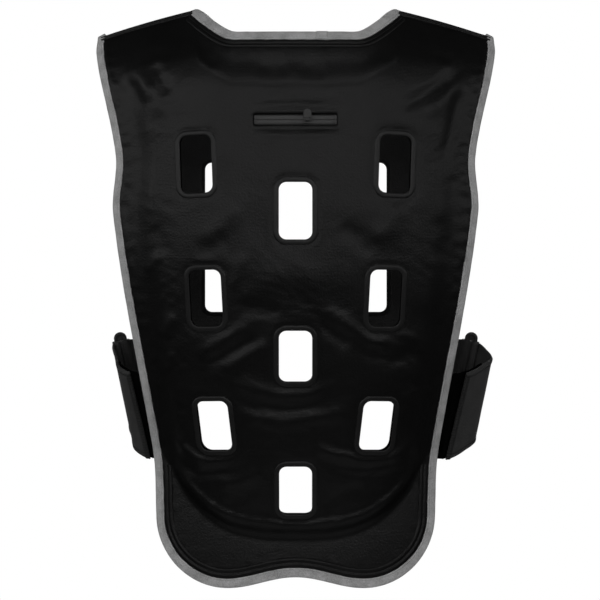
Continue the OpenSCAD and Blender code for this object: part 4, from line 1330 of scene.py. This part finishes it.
def front_middle(x, v):
    """Middle of the front's cloth."""
    low, high = front_limits(v)
    s = (x - low) / (high - low)
    t = clamp((v + YOKE_DEPTH) / YOKE_RUN, 0.0, 1.0)
    start = mix(FRONT_GAP, FRONT_YOKE_HALF, s)
    top = mix(NECK_HALF, SHOULDER_HALF, s)
    end_z = top_z(top)
    end_y = body_y(top, end_z) + FRONT_T / 2 + YOKE_CLEAR
    start_y = front_face(start) - FRONT_T / 2
    turn = t * np.pi / 2
    y = np.where(t > 0, mix(end_y, start_y, np.cos(turn)), front_face(x) - FRONT_T / 2)
    z = np.where(t > 0, mix(-YOKE_DEPTH, end_z - FRONT_T / 2, np.sin(turn)), v)
    return stacked(x, y, z)


def front_normal(x, v, step=2.0):
    """Direction away from the body."""
    dx = front_middle(x + step, v) - front_middle(x - step, v)
    dv = front_middle(x, v + step) - front_middle(x, v - step)
    return unit(np.cross(dv, dx))


def front_lift(x, v, seed):
    """Folds and unevenness of a front, fading at its windows and edges."""
    window = np.full(np.shape(x), 1e9)
    for depth in FRONT_WINDOW_DEPTHS:
        gap = rounded_gap(x - FRONT_WINDOW_X, v + depth, WINDOW_W, FRONT_WINDOW_H, WINDOW_R) - RIM_W
        window = np.minimum(window, gap)
    low, high = front_limits(v)
    edge = np.minimum(np.minimum(x - low, high - x), v - front_hem(x))
    total = folded(np.zeros(np.shape(x)), x, v, FRONT_WRINKLES, 0.0) + uneven(x, v, FRONT_WAVES, seed)
    return total * setting_in(window, 1.0, FOLD_CLEAR) * setting_in(edge, *FRONT_CALM)


def front_outline(step):
    x = np.linspace(FRONT_GAP, FRONT_SIDE_HALF, 120)
    hem = stacked(x, front_hem(x))
    v = np.linspace(-FRONT_SIDE_DEPTH, FRONT_TOP, 300)
    side = stacked(front_limits(v)[1], v)
    top = np.array([[SHOULDER_HALF, FRONT_TOP], [NECK_HALF, FRONT_TOP]])
    v = np.linspace(FRONT_TOP, -FRONT_HEM_DEPTH, 300)
    inner = stacked(front_limits(v)[0], v)
    return [resample(part, step) for part in (hem, side, top, inner)]


def front_piece(name, mesh, look, side, turn, slot, *nodes):
    """Makes a cloth piece that runs between the shoulder seam and the front half, and hides the solids that
    it stands for.
    """
    points, faces = mesh
    obj = make(name, mirrored(points, side), turned(faces, turn), look)
    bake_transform(obj)
    if nodes:
        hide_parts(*nodes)
    return obj


def make_front(side):
    word = SIDE_NAME[side]
    outline = np.vstack([part[:-1] for part in front_outline(FRONT_STEP)])
    grow = RIM_W - RIM_LAP
    loop, _ = dense_loop(WINDOW_W + 2 * grow, FRONT_WINDOW_H + 2 * grow, WINDOW_R + grow, 2.5)
    holes = [loop + (FRONT_WINDOW_X, -depth) for depth in FRONT_WINDOW_DEPTHS]
    p, faces = panel(outline, holes, FRONT_STEP)
    lift = front_lift(*p.T, FRONT_SEED[side])
    middle, n = front_middle(*p.T), front_normal(*p.T)
    outer = (middle + (FRONT_T / 2 + lift)[:, None] * n, faces)
    inner = (middle + (-FRONT_T / 2 + np.minimum(lift, 0.6))[:, None] * n, faces)
    nodes = ("front_shell_" + word, "yoke_" + word)
    shell = front_piece("front_cloth_" + word, outer, SHELL, side, -side, "shell_cloth", *nodes)
    lining = front_piece("front_inside_" + word, inner, LINING, side, side, "lining", "front_lining_" + word)
    make_front_rims(side)
    make_front_bindings(side)


def make_front_rims(side):
    body = "front_" + SIDE_NAME[side]
    loop, outs = dense_loop(WINDOW_W, FRONT_WINDOW_H, WINDOW_R, 2.0)
    profile = [(offset, FRONT_T / 2 + rise) for offset, rise in RIM_PROFILE]
    profile += [(offset, -rise) for offset, rise in reversed(profile)]
    for k, depth in enumerate(FRONT_WINDOW_DEPTHS):
        rows = []
        for offset, rise in profile:
            x, v = (loop + offset * outs + (FRONT_WINDOW_X, -depth)).T
            rows.append(front_middle(x, v) + rise * front_normal(x, v))
        name = "front_rim%d_%s" % (k + 1, SIDE_NAME[side])
        mesh = sheet(np.stack(rows), False, True)
        piece(name + "_bead", mesh, RIM, body, "rim", name, side=side, turn=-side)


def make_front_bindings(side):
    """Side edge with hem, and the neck edge of the yoke, each as one tape."""
    word = SIDE_NAME[side]
    hem, edge, _, inner = front_outline(3.0)
    outer_line = np.vstack([edge[::-1], hem[::-1][1:]])
    inner_line = inner[(inner[:, 1] > -YOKE_DEPTH + 4) & (inner[:, 1] < FRONT_TOP - 6)]
    bands, threads = [], []
    for line, seed, way in ((outer_line, 51, 1), (inner_line, 54, -1)):
        path = front_middle(*line.T)
        up = front_normal(*line.T)
        out = unit(np.cross(up, ways(path)))
        out = out * np.sign(way * out[len(out) // 2, 0])
        across = unit(np.cross(ways(path), out))
        up = across * np.sign(np.sum(across * up, axis=1))[:, None]
        points, faces = sweep(path, out, up, wavy_profile(BINDING_PROFILE, path, seed))
        bands.append((points, turned(faces, way)))
        threads.append(binding_stitches(path, out, up, STITCH_INSET))
    nodes = ("front_binding_" + word, "yoke_binding_" + word)
    front_piece("front_edge_" + word, joined(bands), BINDING, side, side, "binding", *nodes)
    front_piece("front_edge_%s_thread" % word, joined(threads), THREAD, side, 1, "binding")


# Front zip, its tape as (x from the front's edge, share of the ripple) lines
ZIP_LOW = -FRONT_HEM_DEPTH + 4
ZIP_HIGH = -YOKE_DEPTH - 3
TAPE_W = 12.0
TAPE_LINES = [(-TAPE_W, 0.0), (-9.0, 0.2), (-5.0, 0.3), (-0.5, 0.2), (5.0, 0.0), (8.0, 0.0)]
TAPE_T = 1.0
TAPE_LIFT = 0.6
TAPE_RIPPLE = 30.0
CHAIN_W = 2.8
CHAIN_T = 3.0
CHAIN_Y = FRONT_Y - FRONT_T / 2
CHAIN_X = FRONT_GAP - TAPE_W - CHAIN_W
TOOTH_PITCH = 3.0
TOOTH_H = 1.3
TOOTH_X = CHAIN_X + 1.5
CORD_X = CHAIN_X + CHAIN_W - 0.3
FIRST_TOOTH = ZIP_LOW + 0.8


def make_front_zip(side):
    word = SIDE_NAME[side]
    body = "front_" + word
    v = np.linspace(ZIP_LOW, ZIP_HIGH, 110)
    offset, wave = np.array(TAPE_LINES).T
    ripple = grain(stacked(0.0, 0.0, v), TAPE_RIPPLE, 60 + side)
    y = CHAIN_Y + ripple[:, None] * wave + np.where(offset > 0, FRONT_T / 2 + TAPE_LIFT, 0)
    top = stacked(FRONT_GAP + offset, y + TAPE_T / 2, v[:, None])
    tape = slab(top, top - (0, TAPE_T, 0))
    name, node = "front_zip_band_" + word, "front_tape_" + word
    piece(name, tape, ZIP_TAPE, body, "zip_tape", node, side=side, turn=-side)
    first = FIRST_TOOTH + (0.0 if side > 0 else TOOTH_PITCH / 2)
    parts = []
    for k in range(int((ZIP_HIGH - ZIP_LOW) / TOOTH_PITCH)):
        middle = (TOOTH_X, CHAIN_Y, first + k * TOOTH_PITCH)
        parts.append(block(middle, (CHAIN_W, CHAIN_T, TOOTH_H), 0.25))
    middle = (CORD_X, CHAIN_Y, (ZIP_LOW + ZIP_HIGH) / 2)
    parts.append(block(middle, (1.0, 1.9, ZIP_HIGH - ZIP_LOW), 0.3))
    points, faces = joined(parts)
    chain = make("front_teeth_" + word, mirrored(points, side), turned(faces, side), TEETH, False)
    finish(chain, body, "zip_teeth", "front_chain_" + word)


# Side straps, tabs and rings, drawn for the right side in the ring's own frame
STRAP_SKEW = 0.03
STRAP_START = 0.03
STRAP_END = 0.94
STRAP_LEN = 100.0
STRAP_HEM = 5.0
HEM_H = 0.65
HOOK_W = STRAP_W - 16
HOOK_START = 0.6
HOOK_END = STRAP_END - 0.05
TAB_START = 0.55
TAB_CLEAR = 0.3
SEWN_RISE = 0.9
FRONT_TAB_PART = 0.7
WEB_RISE = 1.9
WEB_SIZE = (RING_PITCH, 2.7, 3.4)

# Unevenness of strap and pile as (size, height), and the groove at the stitch line as (depth, place, width)
STRAP_SOFT = (22.0, 0.2)
TAB_FUZZ = (2.2, 0.25)
HEM_PRESSED = (0.6, STRAP_HEM, 0.9)

# Raised seam of the front tab's sleeve as (height, angle, width); it fills the view between the sleeves
SLEEVE_SEAM = (2.4, math.radians(320), 0.25)

# A bar of overlock thread as (distance from the edge, share of the half thickness, slant)
OVERLOCK = (
    (5.2, 0.75, 1.1), (3.0, 1.05, 0.6), (0.6, 0.9, 0.1), (-0.5, 0.0, 0.0), (0.6, -0.6, 0.0), (4.0, -0.6, 0.4),
)
OVERLOCK_RADIUS = 0.6

# Its two layers as (half thickness, pitch)
THREAD_LAYER = (STRAP_T / 2 + 0.85, 1.5)
LACING_LAYER = (STRAP_T / 2 + 1.15, 3.0)
THREAD_RISE = 0.15


def from_ring(p, along):
    """Places points of the ring's frame, given across its bars and by the distance along them."""
    y = p[..., 1] * math.cos(BAR_TILT) - along * math.sin(BAR_TILT)
    z = p[..., 1] * math.sin(BAR_TILT) + along * math.cos(BAR_TILT)
    return stacked(
        RING_HALF + p[..., 0] * math.cos(BAR_LEAN) + z * math.sin(BAR_LEAN),
        RING_Y + y,
        -RING_DEPTH - p[..., 0] * math.sin(BAR_LEAN) + z * math.cos(BAR_LEAN),
    )


def strap_point(run, s):
    """Middle of a strap across the ring's bars, at a share of its run."""
    bulge, reach = run
    knots = np.array([
        (0, SLEEVE_MID, 0),
        (0.14, SLEEVE_MID + 0.45 * bulge, -12),
        (0.36, bulge, -30),
        (0.6, 0.45 * bulge - 1, -53),
        (0.8, 0.2 * bulge - 0.45 * reach, -68),
        (1, -reach, -80),
    ])
    return stacked(smooth(knots[:, [0, 1]], s), smooth(knots[:, [0, 2]], s))


def strap_side(run, s):
    d = unit(strap_point(run, np.minimum(s + 0.01, 1)) - strap_point(run, np.maximum(s - 0.01, 0)))
    return stacked(-d[..., 1], d[..., 0])


def strap_sheet(run, lift, rows, cols, width=STRAP_W, start=STRAP_START, end=STRAP_END):
    """Grid over the strap's path: rows along it and columns from its lower to its upper edge."""
    w = np.linspace(-0.5, 0.5, cols)
    a = np.linspace(0, 1, rows)[:, None]
    s = start + (end - STRAP_SKEW * w * 2 - start) * a
    lift = np.broadcast_to(lift, s.shape)
    p = strap_point(run, s) + lift[..., None] * strap_side(run, s)
    return from_ring(p, w * width + p[..., 1] * STRAP_CLIMB)


def hem_rise(rows, cols):
    """Turned hem: thicker along both long edges and the free end, pressed in at the stitch line."""
    a = np.linspace(1, 0, rows)[:, None] * STRAP_LEN
    b = (0.5 - np.abs(np.linspace(-0.5, 0.5, cols)))[None, :] * STRAP_W
    gap = np.minimum(a, b)
    edge = ramp(gap / 0.8)
    rise = HEM_H * ramp((STRAP_HEM + 0.6 - gap) / 1.2) * edge
    return rise - bump(gap, *HEM_PRESSED) - 0.5 * (1 - edge)


def sleeve(x, radius, turns=40, cols=30):
    """Loop of cloth round a ring bar, with its outer radius given by angle."""
    a = np.linspace(0, 2 * math.pi, turns + 1)[:-1]
    w = np.linspace(-0.5, 0.5, cols) * STRAP_W
    outer, inner = radius(a), np.full(turns, RING_D / 2 + 0.1)
    grids = []
    for reach, heights in ((inner, w[:1]), (outer, w), (inner, w[-1:])):
        p = stacked(np.cos(a) * reach + x, np.sin(a) * reach)
        grids.append(from_ring(p[:, None], heights))
    return sheet(np.concatenate(grids, axis=1), True)


def make_strap(side):
    word = SIDE_NAME[side]
    run = STRAP_RUN[side]
    body = "strap_" + word
    size = (60, 56)
    middle = strap_sheet(run, 0.0, *size)
    soft = grid_grain(middle, *STRAP_SOFT, 70 + side)
    top = strap_sheet(run, STRAP_T / 2 + hem_rise(*size) + soft, *size)
    low = strap_sheet(run, -STRAP_T / 2 + soft, *size)
    mesh = joined([slab(top, low), sleeve(0.0, lambda a: SLEEVE_OUT + 0 * a)])
    piece("strap_%s_cloth" % word, mesh, STRAP, body, "strap", "strap_" + word, side=side, turn=side)
    make_strap_thread(side)
    lifts = (-STRAP_T / 2, -STRAP_T / 2 - HOOK_T)
    hook = slab(*[strap_sheet(run, lift, 44, 30, HOOK_W, HOOK_START, HOOK_END) for lift in lifts])
    piece("hook_%s_tape" % word, hook, HOOK, body, "hook", "hook_" + word, side=side, turn=side)


def make_strap_thread(side):
    """Stitch lines inside the hems and the two layers of thread over the free end."""
    name, run = "strap_" + SIDE_NAME[side], STRAP_RUN[side]
    rows, cols = 80, 77
    grid = strap_sheet(run, STRAP_T / 2 + THREAD_RISE, rows, cols)
    under = strap_sheet(run, -STRAP_T / 2, rows, cols)
    over = unit(grid - under)
    low = round(STRAP_HEM / STRAP_W * (cols - 1))
    last = round((1 - STRAP_HEM / STRAP_LEN) * (rows - 1))
    sewn = slice(last + 1)
    parts = [stitches(grid[sewn, k], over[sewn, k], 3.2, 2.4, 0.32) for k in (low, cols - 1 - low)]
    end = ((grid[-1] + under[-1]) / 2, unit(grid[last] - grid[-1]), over[-1])
    parts.append(overlock(*end, *THREAD_LAYER))
    piece(name + "_thread", joined(parts), BLACK_THREAD, name, "strap", side=side)
    piece(name + "_lacing", overlock(*end, *LACING_LAYER), DARK_THREAD, name, "strap", side=side)


def overlock(edge, inward, up, half, pitch):
    """Thread bars laid over an edge of cloth, from one face round to the other."""
    at = run_length(edge)
    spots = np.arange(pitch, at[-1] - pitch, pitch)
    base, into, rise = (picked(spots, at, v) for v in (edge, inward, up))
    along = np.cross(into, rise)
    rows = [base + reach * into + height * half * rise + drift * along for reach, height, drift in OVERLOCK]
    centre = np.stack(rows, axis=1)
    side = unit(np.broadcast_to(along[:, None], centre.shape))
    top = unit(np.cross(unit(np.gradient(centre, axis=1)), side))
    return bars(centre, side, top, OVERLOCK_RADIUS, False)


def ruled(first, last, count):
    """Rows of points from one line to another."""
    return np.stack([mix(first, last, t) for t in np.linspace(0, 1, count)])


def tab_grid(run, cols=40):
    """Middle of the loop-pile tab from the back's edge to under the strap."""
    lift = -(STRAP_T / 2 + HOOK_T + TAB_CLEAR + TAB_T / 2)
    s = np.linspace(1, TAB_START, 24)
    p = (strap_point(run, s) + lift * strap_side(run, s))[:, None]
    outer = from_ring(p, np.linspace(-0.5, 0.5, cols) * STRAP_W + p[..., 1] * STRAP_CLIMB)
    z = outer[0, :, 2]
    half = edge_half(z)
    root = half - BINDING_W + 1
    sewn = BINDING_T + TAB_T / 2
    first = stacked(root, body_y(root, z) + sewn, z)
    second = stacked(half + 2, body_y(half, z) + sewn + SEWN_RISE, z)
    return np.concatenate([ruled(first, second, 6), ruled(second, outer[0], 8)[1:-1], outer])


def make_back_tab(side):
    node = "back_tab_" + SIDE_NAME[side]
    grid = tab_grid(STRAP_RUN[side])
    fuzz = grid_grain(grid, *TAB_FUZZ, 80 + side)
    half = (TAB_T / 2 + fuzz)[..., None] * grid_normals(grid)
    mesh = slab(grid + half, grid - half)
    piece(node + "_pile", mesh, PILE, "back", "loop_pile", node, side=side, turn=side)


def make_front_tab(side):
    node = "front_tab_" + SIDE_NAME[side]
    start = from_ring(np.array([-RING_PITCH - SLEEVE_MID, 0.0]), np.linspace(-0.5, 0.5, 40) * STRAP_W)
    z = start[:, 2]
    thick = FRONT_TAB_PART * TAB_T
    sewn = FRONT_T + BINDING_T + thick / 2
    root_x = FRONT_SIDE_HALF - BINDING_W + 1
    root = stacked(root_x, front_face(root_x) - sewn, z)
    lip = stacked(FRONT_SIDE_HALF + 2, front_face(FRONT_SIDE_HALF) - sewn - SEWN_RISE, z)
    grid = np.concatenate([ruled(root, lip, 6), ruled(lip, start, 16)[1:]])
    half = thick / 2 * grid_normals(grid)
    loop = sleeve(-RING_PITCH, lambda a: SLEEVE_OUT + bump(a, *SLEEVE_SEAM))
    mesh = joined([slab(grid + half, grid - half), loop])
    piece(node + "_web", mesh, FRONT_TAB, "front_" + SIDE_NAME[side], "front_tab", node, side=side, turn=side)


def make_ring_webs(side):
    """Blocks that close the ring's two ends between its bars."""
    ends = []
    for way in (1, -1):
        middle = (-RING_PITCH / 2, 0, way * (STRAP_W / 2 + WEB_RISE))
        q, faces = block(middle, WEB_SIZE, 0.3)
        ends.append((from_ring(q[:, :2], q[:, 2]), faces))
    piece("ring_%s_webs" % SIDE_NAME[side], joined(ends), RING, "back", "ring", side=side)


# Pieces whose solids stay get their finish
KEPT = {
    RING: ["ring_left", "ring_right"],
    METAL: ["zip_slider", "zip_pull", "front_slider", "front_pull"],
    TEETH: ["front_zip_box"],
}


def dress_kept():
    for material, nodes in KEPT.items():
        for node in nodes:
            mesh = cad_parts[node].data
            mesh.materials.clear()
            mesh.materials.append(material)


# Stage: lamps round the back by turn and share of the power, and two more by place, target, power and size
AMBIENT = 0.08
BACKDROP_REACH = 0.7
MIDDLE_Z = -0.3
KEY_DISTANCE = 2.6
KEY_Z = 0.2
KEY_POWER = 21.0
KEY_SIZE = (1.9, 0.45)
KEY_LAMPS = (
    ("key_far_left", -85, 0.8), ("key_left", -43, 1.15), ("key_middle", 0, 1.15), ("key_right", 43, 0.9),
    ("key_far_right", 85, 0.55),
)
TOP_LAMP = ((0, -1.6, 1.7), (0, 0.1, -0.1), 18.0, (1.6, 0.5))
FILL_LAMP = ((0.4, 2.6, 0.6), (0, 0.2, MIDDLE_Z), 40.0, (1.6, 1.2))
FLOOR_Z = -0.95
FLOOR_SIDES = 96
FLOOR_RIM = ((0.02, 0), (0.25, 0), (0.45, 0), (0.47, -0.006), (0.47, -0.02))


def make_camera():
    data = bpy.data.cameras.new("camera")
    data.angle = 2 * math.atan(VIEW_WIDTH / 2 / VIEW_DISTANCE)
    camera = bpy.data.objects.new("camera", data)
    camera.location = (VIEW_X, -VIEW_DISTANCE, VIEW_Z)
    camera.rotation_euler = (math.pi / 2, 0, 0)
    bpy.context.scene.collection.objects.link(camera)
    bpy.context.scene.camera = camera


def make_world():
    """White behind the object, to the camera and in its reflections, and soft grey light from all round."""
    world = bpy.data.worlds.new("studio")
    bpy.context.scene.world = world
    world.use_nodes = True
    tree = world.node_tree

    def step(kind, operation=None, *inputs):
        node = tree.nodes.new(kind)
        if operation:
            node.operation = operation
        for socket, value in zip(node.inputs, inputs):
            feed(tree, socket, value)
        return node

    path = step("ShaderNodeLightPath")
    way = step("ShaderNodeSeparateXYZ", None, step("ShaderNodeTexCoord").outputs["Generated"])
    ahead = step("ShaderNodeMath", "GREATER_THAN", way.outputs["Y"], BACKDROP_REACH)
    gloss = step("ShaderNodeMath", "MULTIPLY", path.outputs["Is Glossy Ray"], ahead.outputs[0])
    seen = step("ShaderNodeMath", "MAXIMUM", path.outputs["Is Camera Ray"], gloss.outputs[0])
    seen = step("ShaderNodeMath", "MAXIMUM", seen.outputs[0], path.outputs["Is Transmission Ray"])
    white = step("ShaderNodeBackground", None, (1, 1, 1, 1), 1.0)
    ambient = step("ShaderNodeBackground", None, (1, 1, 1, 1), AMBIENT)
    both = step("ShaderNodeMixShader", None, seen.outputs[0], ambient.outputs[0], white.outputs[0])
    tree.links.new(both.outputs[0], tree.nodes["World Output"].inputs["Surface"])


def make_lamp(name, place, target, power, size):
    data = bpy.data.lights.new(name, "AREA")
    data.energy = power
    data.shape = "RECTANGLE"
    data.size, data.size_y = size
    lamp = bpy.data.objects.new(name, data)
    lamp.location = place
    lamp.rotation_euler = (Vector(target) - Vector(place)).to_track_quat("-Z", "Y").to_euler()
    bpy.context.scene.collection.objects.link(lamp)


def make_floor():
    a = np.linspace(0, 2 * math.pi, FLOOR_SIDES + 1)[:-1]
    rows = [stacked(r * np.cos(a), r * np.sin(a), z + FLOOR_Z) for r, z in FLOOR_RIM]
    look = Look("pale_floor")
    mottle = look.noise(60)
    look.surface(base_color=look.colours(mottle, 226, 232), roughness=0.8, specular_ior_level=0.1)
    points, faces = sheet(np.stack(rows) / MM, False, True)
    faces.append(tuple(range(FLOOR_SIDES - 1, -1, -1)))
    make("floor", points, turned(faces, -1), look.material)


def make_stage():
    bpy.context.scene.view_settings.view_transform = "Standard"
    make_world()
    make_floor()
    for name, turn, share in KEY_LAMPS:
        a = math.radians(turn)
        place = (KEY_DISTANCE * math.sin(a), -KEY_DISTANCE * math.cos(a), KEY_Z)
        make_lamp(name, place, (0, 0, MIDDLE_Z), KEY_POWER * share, KEY_SIZE)
    make_lamp("top", *TOP_LAMP)
    make_lamp("front_fill", *FILL_LAMP)


def main():
    make_camera()
    make_back()
    make_pad()
    make_rims()
    make_bindings()
    make_strips()
    make_zip()
    for side in SIDE_NAME:
        make_front(side)
        make_front_zip(side)
        make_strap(side)
        make_back_tab(side)
        make_front_tab(side)
        make_ring_webs(side)
    dress_kept()
    make_stage()


main()
